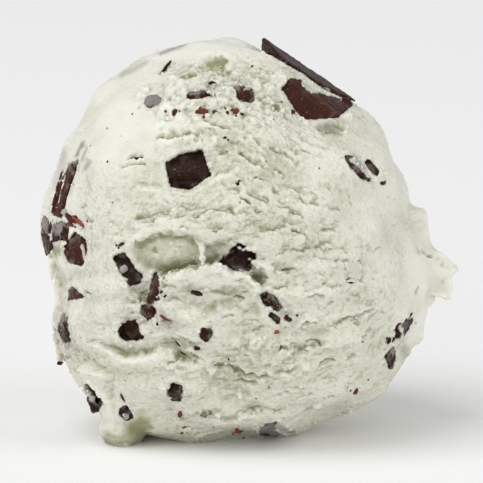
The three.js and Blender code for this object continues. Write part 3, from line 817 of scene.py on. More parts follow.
# %% Move the skin, and lay its underside flat
floor_normal = FACE_AXES[:, 2]
normals = read_normals(scoop)
skin = skin + normals * relief[:, None] + np.clip(curl, -0.25, 0.25)
height_above_floor = skin @ floor_normal + CENTRE[2]
below = np.minimum(height_above_floor, 0)
skin = in_box(skin - below[:, None] * floor_normal)
write_points(scoop, skin)
skin_surface = BVHTree.FromObject(scoop, bpy.context.evaluated_depsgraph_get())

# %% [markdown]
# ## Broken chocolate
#
# Chocolate breaks like glass: flat faces, sharp edges with tiny nicks, and shallow steps on the
# broken faces. Each piece starts as a merged copy of its CAD node. A fine voxel remesh gives it
# even faces and takes the knife edges off. Then it is sunk into the ice cream as deep as the real
# one, grown a little under the skin, and its faces are stepped and roughened.

# %% How each piece lies: sunk (mm), milky veil, redness
CHIP_LOOKS = {
    "chip_top_plate": (0.0, 0.0, 0.15), "chip_curled_flake": (0.1, 0.0, 0.5), "chip_cube": (0.35, 0.0, 0.0),
    "chip_long_shard": (0.1, 0.15, 0.6), "chip_left_chunk": (0.1, 0.0, 0.5), "chip_left_grey": (0.2, 0.8, 0.2),
    "chip_left_edge": (0.2, 0.65, 0.3), "chip_slab": (0.5, 0.0, 0.0), "chip_arrow": (1.1, 0.0, 0.0),
    "chip_splinter": (0.5, 0.1, 0.35), "chip_red_brown": (0.3, 0.15, 0.7), "chip_frosted": (0.4, 0.3, 0.2),
    "chip_left_triangle": (0.1, 0.1, 0.6), "chip_left_low": (0.2, 0.55, 0.2), "chip_corner": (0.2, 0.45, 0.1),
    "chip_bottom": (0.3, 1.2, 0.1), "chip_right_dark": (0.4, 0.55, 0.4), "chip_right_low": (0.4, 0.2, 0.2),
    "chip_right_leaf": (0.3, 0.45, 0.2), "chip_crown": (0.2, 0.3, 0.6), "chip_crown_sliver": (0.3, 0.45, 0.4),
    "chip_crown_left": (0.3, 1.1, 0.1),
}
USUAL_LOOK = (0.4, 0.1, 0.12)
CHIP_VOXEL = 0.19
CHIP_GROWTH = 0.22
FACETS = 5
STANDING_OUT = ("chip_top_plate", "chip_left_edge", "chip_corner")
FLAT_PIECES = ("chip_top_plate", "chip_long_shard", "chip_splinter")
CLEAN_PIECES = ("chip_top_plate", "chip_cube", "chip_curled_flake")
FROSTED = {"chip_frosted": 0.9, "chip_right_low": 0.5}
dice = np.random.default_rng(5)


def store(piece, name, values):
    attribute = piece.data.attributes.get(name) or piece.data.attributes.new(name, "FLOAT", "POINT")
    attribute.data.foreach_set("value", np.asarray(values, np.float32))


def broken_off(points, side):
    middle = points.mean(axis=0)
    for _ in range(FACETS):
        facing = np.append(dice.normal(0, 0.3, 2), side)
        facing /= np.linalg.norm(facing)
        reach = (points - middle) @ facing
        slanted_rise = np.linalg.norm(facing[:2]) * np.ptp(points[:, :2], axis=0).mean()
        cut = reach.max() - dice.uniform(0.25, 0.55) * slanted_rise
        points = points - np.maximum(reach - cut, 0)[:, None] * facing
    return points


def broken_piece(name):
    sink, veil, red = CHIP_LOOKS.get(name, USUAL_LOOK)
    piece = bpy.data.objects.new(name + "_broken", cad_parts[name].data.copy())
    bpy.context.scene.collection.objects.link(piece)
    pick(piece)
    bpy.ops.object.mode_set(mode="EDIT")
    bpy.ops.mesh.select_all(action="SELECT")
    bpy.ops.mesh.remove_doubles(threshold=0.01 * MM)
    bpy.ops.object.mode_set(mode="OBJECT")
    apply_modifier(piece, "REMESH", mode="VOXEL", voxel_size=CHIP_VOXEL * MM)
    points = read_points(piece)
    normals = read_normals(piece)
    side = 1 if points[:, 2].max() > 6 else -1
    outline = reach_inside(points[:, :2], outline_segments(name, side))
    if name not in STANDING_OUT + FLAT_PIECES:
        points = broken_off(points, side)
    steps = np.round(3 * ripple(points, 2.6, 31) + ripple(points, 0.9, 33)) / 3
    rough = 0.3 if name in FLAT_PIECES else 0.7
    relief = CHIP_GROWTH + rough * (0.26 * ripple(points, 2.0, 34) + 0.2 * steps) + 0.08 * ripple(points, 0.6, 32)
    points = in_box(points + normals * relief[:, None] - np.array([0, 0, side * (sink + CHIP_GROWTH)]))
    write_points(piece, points)
    bpy.ops.object.shade_smooth_by_angle(angle=math.radians(40))
    low, high = points[:, 1].min(), points[:, 1].max()
    climb = (points[:, 1] - low) / (high - low) + 0.5 * ripple(points, 1.5, 36) + 0.3 * ripple(points, 0.5, 37)
    milky_top = smoothstep(climb, 1.05 - veil, 1.35 - veil) * (veil > 0)
    milky_edge = np.exp(-np.maximum(outline, 0) / 0.4) * smoothstep(ripple(points, 1.1, 38), 0.0, 0.4)
    milky_edge *= 0.2 if name in CLEAN_PIECES else 0.6
    frost = FROSTED.get(name, 0) * smoothstep(-np.abs(ripple(points, 0.9, 40)), -0.08, -0.02)
    store(piece, "veil", np.maximum(milky_top, np.maximum(milky_edge, frost)))
    redder = 1.3 * smoothstep(climb, 0.75, 1.0) - 0.4 if name == "chip_red_brown" else 0.4 * ripple(points, 1.2, 39)
    store(piece, "red", red + redder)
    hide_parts(name)
    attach(piece, "root")
    return piece


chips = [broken_piece(name) for name in chip_names]
print(len(chips), "pieces,", sum(len(chip.data.polygons) for chip in chips), "faces")

# %% [markdown]
# ## Bits of chocolate
#
# Chopping chocolate leaves bits from a millimetre down to dust. The larger ones lie where the table
# below lists them. The small ones come from a seeded draw, most of them near a larger piece. Each
# is the same rough ball, stretched and turned.

# %% Place the bits
BITS = [
    # side, u, v, length, width, turn in degrees, redness, crumbs beside it
    (1, -10.6, 28.3, 3.4, 0.8, 55, 0.2, 1), (1, -3.0, 25.7, 1.3, 0.7, 0, 0.2, 0), (1, 0.9, 21.0, 2.0, 1.2, 20, 1.3, 9),
    (1, -4.4, 21.0, 2.0, 1.1, -10, 1.2, 5), (1, -9.0, 20.8, 1.4, 1.1, 60, 0.8, 2), (1, -0.8, 16.6, 0.8, 0.5, 0, 0.6, 2),
    (1, 1.3, 9.1, 0.8, 0.6, 0, 0.1, 1), (1, -15.3, 13.2, 3.2, 0.8, 4, 0.0, 0), (1, -17.7, -0.7, 1.2, 0.7, 30, 0.3, 3),
    (1, -5.4, -8.6, 1.9, 1.0, -20, 0.2, 0), (1, -10.5, -9.1, 1.0, 0.4, 40, 0.1, 0), (1, -10.6, -12.7, 2.2, 0.7, -30, 1.3, 2),
    (1, -8.3, -17.2, 2.0, 0.35, -50, 0.0, 0), (1, -7.5, -18.6, 1.6, 0.3, -25, 0.0, 1), (1, -17.6, -26.0, 1.5, 0.4, -60, 0.0, 0),
    (1, 9.6, -12.9, 1.9, 0.9, -15, 0.6, 2), (1, 7.6, -15.0, 1.0, 0.9, 0, 1.8, 0), (1, 25.0, 9.3, 0.9, 0.7, 0, 0.2, 2),
    (1, 19.7, -7.0, 1.4, 0.45, 0, 0.0, 0), (1, 20.6, -24.8, 1.5, 1.1, 50, 1.1, 2), (1, -8.2, -28.6, 1.4, 1.0, 80, 1.2, 1),
    (1, -7.6, -30.9, 1.8, 0.6, -70, 1.4, 2), (1, 1.4, -31.6, 1.6, 0.9, 15, 1.5, 6), (1, -28.3, -21.2, 0.9, 0.9, 0, 0.1, 0),
    (1, -27.7, 10.8, 2.4, 0.8, 68, 0.9, 0), (1, -28.4, 8.7, 2.4, 0.9, 74, 0.8, 0), (1, -28.9, 6.6, 2.4, 0.9, 76, 0.9, 0),
    (1, -29.2, 4.9, 1.8, 0.8, 80, 0.8, 0), (1, -24.6, 3.0, 2.2, 0.9, -50, 1.6, 5), (1, -26.4, 2.6, 1.8, 0.8, -20, 1.4, 4),
    (1, 17.4, 24.3, 3.2, 1.3, -38, 0.5, 0), (1, 19.4, 22.8, 2.8, 1.4, -38, 0.5, 0),
    (1, -29.6, 1.6, 3.4, 1.2, 84, 0.2, 0), (1, -29.4, -0.9, 2.4, 1.2, 70, 0.5, 0), (1, -27.0, 0.8, 3.2, 1.5, -70, 0.4, 2),
    (1, -26.6, -1.4, 2.2, 1.2, -50, 0.1, 0), (1, -5.2, -17.6, 1.9, 0.8, 20, 0.3, 0), (1, -26.2, 3.6, 2.4, 1.4, -40, 0.7, 2),
    (1, -25.2, 3.4, 1.6, 1.0, -30, 1.7, 2),
    (1, 10.3, 21.0, 1.0, 0.7, 0, 1.0, 2), (1, 26.2, -16.6, 1.4, 0.8, 60, 0.2, 3), (1, 29.8, -12.6, 1.6, 0.5, 50, 0.2, 1),
    (-1, -4.0, 15.0, 1.9, 1.2, 20, 0.6, 3), (-1, 14.5, -9.0, 1.8, 1.1, -40, 0.3, 4), (-1, -17.5, 4.5, 1.5, 1.2, 0, 1.2, 5),
    (-1, 5.0, -24.5, 1.9, 0.9, 15, 0.5, 2), (-1, -12.0, -14.5, 1.2, 1.2, 0, 0.4, 3), (-1, 22.5, 8.5, 1.6, 0.8, 70, 0.9, 2),
    (-1, -20.5, 16.0, 1.6, 0.8, -30, 0.3, 2), (-1, 9.5, 24.5, 1.7, 0.9, 40, 1.3, 6), (-1, -8.0, -1.5, 2.6, 0.5, -15, 0.1, 1),
]
DUST_TRIES = 600
SHARD_DEPTH = 1.1
deselect_all()
bpy.ops.mesh.primitive_ico_sphere_add(subdivisions=1, radius=0.5)
shard = bpy.context.object
shard_points = np.array([tuple(vertex.co) for vertex in shard.data.vertices])
shard_faces = np.array([tuple(face.vertices) for face in shard.data.polygons])
bpy.data.objects.remove(shard)


STEEPEST_LOOK = 0.6


def along_skin(outward, turn):
    seen = np.array([math.cos(turn), math.sin(turn), 0])
    facing = math.copysign(max(abs(outward[2]), STEEPEST_LOOK), outward[2])
    seen[2] = -(seen @ outward) / facing
    return seen


dice = np.random.default_rng(23)
shards = []
for side, u, v, length, width, turn, red, companions in BITS:
    place = on_skin(side, side * u, v)
    shards.append((place, length, width, math.radians(turn), red))
    for _ in range(companions):
        stray = dice.normal(0, 0.6, 2) * (0.5 * length + 0.3)
        size = dice.uniform(0.3, 0.75) * min(width, 1)
        place = on_skin(side, side * u + stray[0], v + 0.7 * stray[1])
        shards.append((place, 1.3 * size, size, dice.uniform(0, 3), red + dice.uniform(-0.8, 0.3)))
dust_places, dust_points = draw_places(DUST_TRIES)
dust_on_plate = reach_inside(dust_places[:, :2], outline_segments("chip_top_plate", 1))
for place, point, over_plate in zip(dust_places, dust_points, dust_on_plate):
    keep, size, turn, red = dice.random(4)
    if abs(place[2]) > 8 and over_plate < -1 and keep < 0.08 + 0.5 * crumbly[point]:
        size = 0.15 + 0.3 * size
        shards.append((place, size, 0.8 * size, 3 * turn, 0.3 + 1.5 * red))

all_points, all_faces, all_red = [], [], []
for k, (place, length, width, turn, red) in enumerate(shards):
    outward = place / np.linalg.norm(place)
    along = along_skin(outward, turn)
    beside = np.cross(outward, along / np.linalg.norm(along))
    axes = np.array([length * along, width * beside, min(width, SHARD_DEPTH) * outward])
    rough = 1 + dice.uniform(-0.35, 0.35, (len(shard_points), 3))
    all_points.append(place + outward * 0.05 * width + (shard_points * rough) @ axes)
    all_faces.append(shard_faces + k * len(shard_points))
    all_red.append(np.full(len(shard_points), red))
mesh = bpy.data.meshes.new("chocolate_bits")
bit_points = in_box(np.concatenate(all_points))
mesh.from_pydata(to_row(bit_points).tolist(), [], np.concatenate(all_faces).tolist())
bits = bpy.data.objects.new("chocolate_bits", mesh)
bpy.context.scene.collection.objects.link(bits)
store(bits, "veil", np.zeros(len(bit_points)))
store(bits, "red", np.concatenate(all_red))
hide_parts("ice_cream_scoop")
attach(bits, "root")
print(len(shards), "bits")

# %% [markdown]
# ## Room for the chocolate
#
# Ice cream laps over the edges of each piece, so that its window is never the shape of the piece.
# The piece's outline, seen from its side, gives how far each point of the skin is inside it, and
# noise moves that line in and out. Inside the line the skin is pushed in behind the chocolate.
# Outside it the skin stands a little over it.

# %% Push the skin in behind each piece, with a lap round it
SHOW_DEPTH = 0.7
LAP_HEIGHT = 0.22
LAP_WIDTH = 0.7
COVERED_EDGE = -0.2
RAGGED_EDGES = {
    "chip_cube": 0.3, "chip_top_plate": 0.7, "chip_long_shard": 0.3, "chip_crown": 0.5, "chip_arrow": 1.7, "chip_right_low": 1.7,
    "chip_curled_flake": 0.5, "chip_left_chunk": 0.5, "chip_splinter": 0.15, "chip_left_grey": 0.2, "chip_left_edge": 0.3,
    "chip_foot": 0.3, "chip_middle_low": 0.3, "chip_right_leaf": 0.4, "chip_right_thin": 0.3,
}
ragged = 0.4 * ripple(skin, 1.8, 22) + 0.45 * ripple(skin, 0.8, 21)
COVERS = [
    # ice cream over a piece: start (u, v), end (u, v), half width
    (12.6, 26.0, 13.6, 25.0, 0.8), (14.0, 25.1, 16.2, 24.8, 0.5), (0.4, 22.6, 1.2, 21.7, 0.5), (4.6, 22.4, 3.9, 21.4, 0.45),
    (2.8, 25.6, 2.8, 24.9, 0.5), (-23.4, -25.6, -22.9, -27.4, 0.6), (-17.4, -28.9, -16.9, -29.4, 0.35),
    (20.3, 13.2, 23.0, 10.6, 0.5), (28.0, -14.2, 28.4, -14.9, 0.35), (-24.3, -1.0, -23.7, -3.4, 0.35), (-13.2, -8.0, -13.6, -9.2, 0.2),
    (-27.2, 11.0, -28.5, 5.2, 0.12), (8.2, -31.0, 9.8, -31.8, 0.9), (24.2, 12.8, 25.2, 10.4, 0.3),
]
behind_flap = beyond_rim(skin[:, 0], skin[:, 1], FLAP_RIM) - 0.25
PARTLY_BEHIND_FLAP = ("chip_arrow", "chip_splinter")
# Mauve-grey streaks of melted chocolate on the ice cream. The two along the crown's upper left outline and the one in
# the dent below the curl are painted shade.
SMEARS_AND_SHADE_STREAKS = [
    # start (u, v), end (u, v), half width, strength
    (-25.3, 13.8, -24.2, 15.9, 0.35, 0.9), (-24.3, 13.3, -23.6, 14.9, 0.3, 0.8), (-23.8, 11.7, -23.0, 13.0, 0.35, 0.8),
    (-27.6, 14.5, -28.6, 9.0, 0.8, 0.4), (20.3, 13.3, 22.0, 11.7, 0.8, 0.7), (15.9, 18.6, 17.3, 17.5, 0.8, 0.55),
    (-5.9, -17.2, -4.4, -16.9, 0.5, 0.6), (27.6, -15.9, 30.2, -20.6, 1.0, 0.5), (-6.6, 24.3, -2.6, 24.6, 0.6, 0.7),
    (-13.0, -11.0, -9.6, -13.6, 1.4, 0.35), (8.2, -10.4, 10.2, -13.2, 0.9, 0.5), (-11.6, 30.9, -7.4, 32.4, 0.35, 0.9),
    (-18.0, 27.4, -14.0, 29.4, 0.5, 0.5), (-27.6, -12.2, -27.0, -17.6, 0.9, 0.6), (-23.4, -25.2, -22.8, -28.2, 0.8, 0.6),
    (6.8, -30.2, 9.8, -31.8, 0.8, 0.6), (-30.2, 2.0, -28.6, -1.2, 0.9, 0.4),
]


smear_and_shade_share = np.zeros(len(skin))
wavy_places = skin[:, :2] + 0.4 * fine_wander[:, :2]
for u1, v1, u2, v2, half_width, strength in SMEARS_AND_SHADE_STREAKS:
    distance = from_line(wavy_places, (u1, v1), (u2, v2))
    smear_and_shade_share = np.maximum(smear_and_shade_share, strength * np.exp(-((distance / half_width) ** 2)) * (skin[:, 2] > -4))
covered = np.full(len(skin), 9.0)
for u1, v1, u2, v2, half_width in COVERS:
    gap = from_line(wavy_places, (u1, v1), (u2, v2)) - half_width
    covered = np.where(skin[:, 2] > -4, np.minimum(covered, gap), covered)
# The stain starts from these streaks, so it also carries their painted shade.
stain = smear_and_shade_share.copy()
near_flap = (skin[:, 2] > 15) * (np.hypot(skin[:, 0] + 3, skin[:, 1] + 7) < 11)
# Painted highlight: a band on the flap just below its rim, where the rim catches the light.
flap_rim_highlight = np.exp(-(((behind_flap + 0.5) / 0.4) ** 2)) * near_flap
torn_edge = 0.8 * np.exp(-(((behind_flap + 0.4) / 0.25) ** 2)) * near_flap
depsgraph = bpy.context.evaluated_depsgraph_get()
for name, chip in zip(chip_names, chips):
    chip_points = read_points(chip)
    side = 1 if chip_points[:, 2].max() > 6 else -1
    surface = BVHTree.FromObject(chip, depsgraph)
    low, high = chip_points.min(axis=0) - 2.0, chip_points.max(axis=0) + 2.0
    near = np.flatnonzero(((skin > low) & (skin < high)).all(axis=1) & (skin[:, 2] * side > -8))
    if not len(near):
        continue
    reach = reach_inside(skin[near, :2], outline_segments(name, side))
    window = reach - COVERED_EDGE + RAGGED_EDGES.get(name, 1.0) * ragged[near]
    if side > 0:
        window = np.minimum(window, covered[near])
    if name in PARTLY_BEHIND_FLAP:
        window = np.minimum(window, behind_flap[near] + ragged[near])
    natural = skin[near, 2] * side
    starts = to_row(np.column_stack([skin[near, :2], np.full(len(near), side * OUTSIDE)]))
    toward = Vector(-side * FACE_AXES[2])
    hits = [surface.ray_cast(Vector(start), toward)[0] for start in starts]
    face = np.array([-99.0 if hit is None else to_face(np.array(hit))[2] * side for hit in hits])
    touching = face > -90
    behind = np.minimum(natural, face - SHOW_DEPTH)
    over = np.maximum(natural, face + LAP_HEIGHT * (1 + ragged[near]))
    open_share = smoothstep(window, -0.12, 0.12)
    placed_over = np.where(touching, over * (1 - open_share) + behind * open_share, natural)
    lap = LAP_HEIGHT * np.exp(-((window / LAP_WIDTH) ** 2)) * (window < 0) * ~touching
    skin[near, 2] = side * (placed_over + lap)
    stain[near] = np.maximum(stain[near], np.exp(np.minimum(reach, 0) / 0.9))
    edge_crumbs = 0.5 * np.exp(-(((window + 0.3) / 0.2) ** 2))
    if name in CLEAN_PIECES:
        edge_crumbs *= (reach < -0.4) & (skin[near, 1] > 10)
    torn_edge[near] = np.maximum(torn_edge[near], edge_crumbs)
skin = in_box(skin)
write_points(scoop, skin)

# %% Measure the pits before the faces are thinned
def depth_below_neighbours(piece, points, rounds):
    level = points
    for _ in range(rounds):
        level = neighbour_mean(level)
    return ((level - points) * read_normals(piece)).sum(axis=1)


# Painted shade: a green-grey tint where shade falls in the crown's dimples, along the crease, in the cavity behind the
# flap and on the flap, beside the foot, along the bottom and broadly over the middle of the face.
OLIVE_SHADE_PLACES = [
    # u, v, half width, half height, how much painted shade
    (-2.2, 28.5, 2.6, 1.6, 0.45), (-6.2, 27.4, 1.8, 1.0, 0.3), (-15.4, -18.2, 5.4, 1.0, 0.3), (-8.6, -19.2, 2.2, 1.0, 0.5), (-13.0, -18.2, 2.4, 0.7, 0.3),
    (3.4, -6.4, 1.7, 1.1, 0.8), (-8.2, -4.6, 4.0, 1.3, 0.75), (-10.0, -2.0, 7.0, 3.4, 0.42), (-3.3, -3.0, 1.3, 2.2, 0.35), (-28.8, -2.0, 1.2, 1.2, 0.7),
    (-15.0, -30.8, 2.0, 2.8, 0.75), (-17.6, -32.8, 4.2, 1.7, 0.75), (-5.0, -32.6, 12, 0.9, 0.3), (16.8, 18.4, 1.9, 1.5, 0.5), (-10.5, -11.8, 1.2, 1.0, 0.3),
    (-6.5, -7.6, 2.6, 0.9, 0.4), (0.6, -8.4, 3.2, 1.2, 0.4), (-3.4, -10.8, 4.6, 1.1, 0.35), (4.6, -11.2, 2.2, 1.4, 0.35),
    (4.0, 11.0, 9.0, 5.0, 0.28), (3.0, 3.0, 8.0, 4.0, 0.25), (2.0, -21.0, 7.0, 5.0, 0.22),
]
olive_shade = placed(skin + 1.5 * fine_wander, OLIVE_SHADE_PLACES)
# The pit value is painted shade where the skin lies below its neighbours and in the places above, and painted
# highlight, below zero, along the flap's rim and the torn rims.
pit = 0.7 * depth_below_neighbours(scoop, skin, 8) + 0.45 * depth_below_neighbours(scoop, skin, 50)
# Painted highlight along the raised edges of the torn rims of the chunk and the crease.
torn_rim_highlight = np.zeros(len(skin))
for rim, *_ in TORN_RIMS:
    beyond = beyond_rim(skin[:, 0], skin[:, 1], rim)
    torn_rim_highlight += np.exp(-(((beyond + 0.3) / 0.3) ** 2)) * along_rim(skin[:, 0], skin[:, 1], rim) * (skin[:, 2] > 8)
pit = np.maximum(pit / 0.7 + olive_shade - 0.8 * flap_rim_highlight - 0.7 * torn_rim_highlight, -0.5 * (1 - stain))
store(scoop, "pit", np.clip(pit, -1, 1))
store(scoop, "stain", stain)
store(scoop, "smear_and_shade", smear_and_shade_share)
store(scoop, "torn", torn)
store(scoop, "grainy", grainy)
store(scoop, "steep", steep_share(skin))
print(f"pits {pit.min():.2f} to {pit.max():.2f} mm")

# %% Thin the faces behind, and then everywhere that the skin is plain
MOST_TRIANGLES = 196_000
KEPT_BEHIND = 0.2
BEHIND = -3
MOST_STRAY = 0.4


def count_triangles(piece):
    piece.data.calc_loop_triangles()
    return len(piece.data.loop_triangles)


triangles = count_triangles(scoop)
is_behind = skin[:, 2] < BEHIND
pick(scoop)
bpy.ops.object.mode_set(mode="EDIT")
bpy.ops.mesh.select_all(action="DESELECT")
bpy.ops.object.mode_set(mode="OBJECT")
scoop.data.vertices.foreach_set("select", is_behind)
scoop.data.edges.foreach_set("select", is_behind[edge_start] & is_behind[edge_end])
bpy.ops.object.mode_set(mode="EDIT")
bpy.ops.mesh.decimate(ratio=KEPT_BEHIND)
bpy.ops.object.mode_set(mode="OBJECT")
print("thinned behind:", triangles, "to", count_triangles(scoop))
apply_modifier(scoop, "DECIMATE", ratio=min(1, MOST_TRIANGLES / count_triangles(scoop)))
thinned = read_points(scoop)
print("points in front and behind:", (thinned[:, 2] > BEHIND).sum(), (thinned[:, 2] < BEHIND).sum())
carved_tree = KDTree(len(skin))
for index, point in enumerate(skin.tolist()):
    carved_tree.insert(point, index)
carved_tree.balance()
strays = 0
for index, point in enumerate(thinned.tolist()):
    nearest, _, distance = carved_tree.find(point)
    if distance > MOST_STRAY:
        thinned[index] = nearest
        strays += 1
write_points(scoop, in_box(thinned))
print(strays, "points that the thinning threw out were put back")

# %% Drop stray faces and loose specks, and close what the thinning opened
LARGEST_HOLE = 12


def islands(shape):
    seen = set()
    found = []
    for vertex in shape.verts:
        if vertex in seen:
            continue
        seen.add(vertex)
        island = [vertex]
        for reached in island:
            touched = [edge.other_vert(reached) for edge in reached.link_edges]
            fresh = [other for other in touched if other not in seen]
            seen.update(fresh)
            island.extend(fresh)
        found.append(island)
    return sorted(found, key=len)


scoop.data.validate()
shape = bmesh.new()
shape.from_mesh(scoop.data)
for _ in range(3):
    strays = [face for face in shape.faces if sum(edge.is_boundary for edge in face.edges) > 1]
    bmesh.ops.delete(shape, geom=strays, context="FACES")
open_edges = [edge for edge in shape.edges if edge.is_boundary]
bmesh.ops.holes_fill(shape, edges=open_edges, sides=LARGEST_HOLE)
for island in islands(shape)[:-1]:
    bmesh.ops.delete(shape, geom=island, context="VERTS")
print(len(open_edges), "open edges,", sum(not edge.is_manifold for edge in shape.edges), "left")
shape.to_mesh(scoop.data)
shape.free()
pick(scoop)
bpy.ops.object.shade_smooth()
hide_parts("ice_cream_scoop")
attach(scoop, "root")
print("ice cream:", triangles, "triangles thinned to", len(scoop.data.polygons))

# %% [markdown]
# ## The finest crumbs
#
# A torn edge is never a clean line: crumbs finer than a millimetre stick to it. They are too small
# for the skin's faces, so they are a piece of their own, joined from one rough ball. They gather
# where the chocolate comes out, on the flap's rim and over the crumbly crown.

# %% Fine crumbs and droplets
CRUMB_TRIES = 40_000
FINE_CRUMBS = 1900
DROPLETS = [
    # u, v, size: milky drops that hang on the chocolate
    (-17.3, -4.7, 1.7), (-27.1, 4.6, 1.7), (-22.7, -26.2, 1.4), (-17.1, -29.0, 1.3),
]
dice = np.random.default_rng(31)
on_plate = reach_inside(skin[:, :2], outline_segments("chip_top_plate", 1))
wanted = (torn_edge + 0.14 * crumbly + 0.03 * torn) * (on_plate < -0.4)
tried = draw_places(CRUMB_TRIES)[1]
kept = tried[dice.random(CRUMB_TRIES) < wanted[tried]]
fine = kept[:FINE_CRUMBS]
print(len(kept), "crumbs drawn,", len(fine), "kept")
FINE_CRUMBS = len(fine)
droplet_middles = np.array([on_skin(1, u, v) for u, v, _ in DROPLETS])
fine_sizes = np.concatenate([0.3 + 0.6 * dice.random(FINE_CRUMBS) ** 2, [size for *_, size in DROPLETS]])
fine_middles = np.concatenate([skin[fine], droplet_middles])
fine_crumbs = joined_balls("ice_cream_crumbs", fine_middles, fine_sizes, 0.2)
write_points(fine_crumbs, in_box(read_points(fine_crumbs)))
pick(fine_crumbs)
bpy.ops.object.shade_smooth()
crumb_stain = np.concatenate([stain[fine] * dice.random(FINE_CRUMBS), np.ones(len(DROPLETS))])
for attribute_name, value in (("stain", crumb_stain), ("pit", dice.uniform(-0.3, 0.35, len(fine_sizes)))):
    store(fine_crumbs, attribute_name, np.repeat(value, len(pattern_points)))
store(fine_crumbs, "smear_and_shade", np.repeat(np.arange(len(fine_sizes)) >= FINE_CRUMBS, len(pattern_points)) * 0.7)
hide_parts("ice_cream_scoop")
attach(fine_crumbs, "root")
print(len(fine_sizes), "fine crumbs,", len(fine_crumbs.data.polygons), "faces")

# %% [markdown]
# ## Materials

# %% Node helpers
def linear(hex_colour):
    channels = [int(hex_colour[k:k + 2], 16) / 255 for k in (1, 3, 5)]
    return tuple(c / 12.92 if c <= 0.04045 else ((c + 0.055) / 1.055) ** 2.4 for c in channels) + (1,)


def new_material(name):
    material = bpy.data.materials.new(name)
    material.use_nodes = True
    return material, material.node_tree, material.node_tree.nodes["Principled BSDF"]


def add(tree, kind, links=None, **settings):
    node = tree.nodes.new(kind)
    for name, value in settings.items():
        if hasattr(node, name):
            setattr(node, name, value)
        else:
            node.inputs[name.replace("_", " ")].default_value = value
    for socket, source in (links or {}).items():
        tree.links.new(source, node.inputs[socket])
    return node


def attribute(tree, name):
    return add(tree, "ShaderNodeAttribute", attribute_name=name).outputs["Fac"]


def ramp(tree, value, low, high, most=1.0):
    settings = {"From_Min": low, "From_Max": high, "To_Max": most}
    return add(tree, "ShaderNodeMapRange", {"Value": value}, **settings).outputs["Result"]


def tint(tree, share, below, colour):
    node = add(tree, "ShaderNodeMix", {0: share}, data_type="RGBA")
    node.inputs[7].default_value = colour
    if isinstance(below, tuple):
        node.inputs[6].default_value = below
    else:
        tree.links.new(below, node.inputs[6])
    return node.outputs[2]


def cloud(tree, per_metre, detail=2.0):
    place = add(tree, "ShaderNodeTexCoord").outputs["Object"]
    return add(tree, "ShaderNodeTexNoise", {"Vector": place}, Scale=per_metre, Detail=detail).outputs["Fac"]


# %% Churned mint ice cream, half melted at the surface
material, tree, shader = new_material("churned_mint_ice_cream")
CREAM = linear("#e8e7dc")
# Torn ice cream is a little darker than smooth: partly its own duller tone, partly painted shade of its torn relief.
TORN_CREAM_WITH_SHADE = linear("#e4e3d4")
# Green-grey for painted shade in pits, tears and hollows, and for random mottling.
OLIVE_SHADE_AND_MOTTLE = linear("#9c9d7a")
COCOA_STAIN = linear("#b3a59c")
# Mauve-grey of chocolate streaks, also used for painted shade streaks.
COCOA_SMEAR_AND_SHADE = linear("#938b8d")
# A lighter cream for painted highlight on ridges and rims.
CREST_HIGHLIGHT = linear("#f2f2e6")


def dragged_cloud(tree, turn, per_metre):
    place = add(tree, "ShaderNodeTexCoord").outputs["Object"]
    along = add(tree, "ShaderNodeMapping", {"Vector": place}, vector_type="TEXTURE", Rotation=(0, turn, 0), Scale=(2.6, 1, 1))
    return add(tree, "ShaderNodeTexNoise", {"Vector": along.outputs[0]}, Scale=per_metre, Detail=3.0).outputs["Fac"]


dragged = add(tree, "ShaderNodeMix", {0: attribute(tree, "steep")})
tree.links.new(dragged_cloud(tree, -LEVEL_DRAG, 950), dragged.inputs[2])
tree.links.new(dragged_cloud(tree, -STEEP_DRAG, 950), dragged.inputs[3])
torn_open = add(tree, "ShaderNodeMath", operation="MULTIPLY")
tree.links.new(ramp(tree, dragged.outputs[0], 0.43, 0.35), torn_open.inputs[0])
tree.links.new(ramp(tree, attribute(tree, "torn"), 0.3, 1.0), torn_open.inputs[1])
tears = torn_open.outputs[0]
body = tint(tree, ramp(tree, attribute(tree, "torn"), 0.2, 0.9), CREAM, TORN_CREAM_WITH_SHADE)
# Painted shade in the fine tears.
body = tint(tree, ramp(tree, tears, 0, 1, 0.29), body, OLIVE_SHADE_AND_MOTTLE)
mottled = tint(tree, ramp(tree, cloud(tree, 160), 0.45, 0.7, 0.2), body, OLIVE_SHADE_AND_MOTTLE)
# Painted shade in the pits and hollows.
pit_shaded = tint(tree, ramp(tree, attribute(tree, "pit"), 0.02, 0.66), mottled, OLIVE_SHADE_AND_MOTTLE)
smears = add(tree, "ShaderNodeMath", operation="MULTIPLY")
tree.links.new(attribute(tree, "stain"), smears.inputs[0])
tree.links.new(ramp(tree, cloud(tree, 420), 0.48, 0.66, 0.75), smears.inputs[1])
stained = tint(tree, smears.outputs[0], pit_shaded, COCOA_STAIN)
# Chocolate streaks, some of them painted shade.
stained = tint(tree, ramp(tree, attribute(tree, "smear_and_shade"), 0.05, 1.0), stained, COCOA_SMEAR_AND_SHADE)
# Painted highlight where the pit value is below zero: on ridges and rims.
crest_highlight_share = ramp(tree, attribute(tree, "pit"), -0.05, -0.5, 0.85)
tree.links.new(tint(tree, crest_highlight_share, stained, CREST_HIGHLIGHT), shader.inputs["Base Color"])
place = add(tree, "ShaderNodeTexCoord").outputs["Object"]
grit = add(tree, "ShaderNodeTexVoronoi", {"Vector": place}, feature="SMOOTH_F1", Scale=1500)
crystals = add(tree, "ShaderNodeMath", operation="SUBTRACT")
tree.links.new(cloud(tree, 2600, 3.0), crystals.inputs[0])
tree.links.new(grit.outputs["Distance"], crystals.inputs[1])
patchy = add(tree, "ShaderNodeMath", operation="MULTIPLY")
tree.links.new(crystals.outputs[0], patchy.inputs[0])
tree.links.new(ramp(tree, attribute(tree, "grainy"), -0.1, 1), patchy.inputs[1])
grain = add(tree, "ShaderNodeBump", {"Height": patchy.outputs[0]}, Strength=1.0, Distance=0.00035)
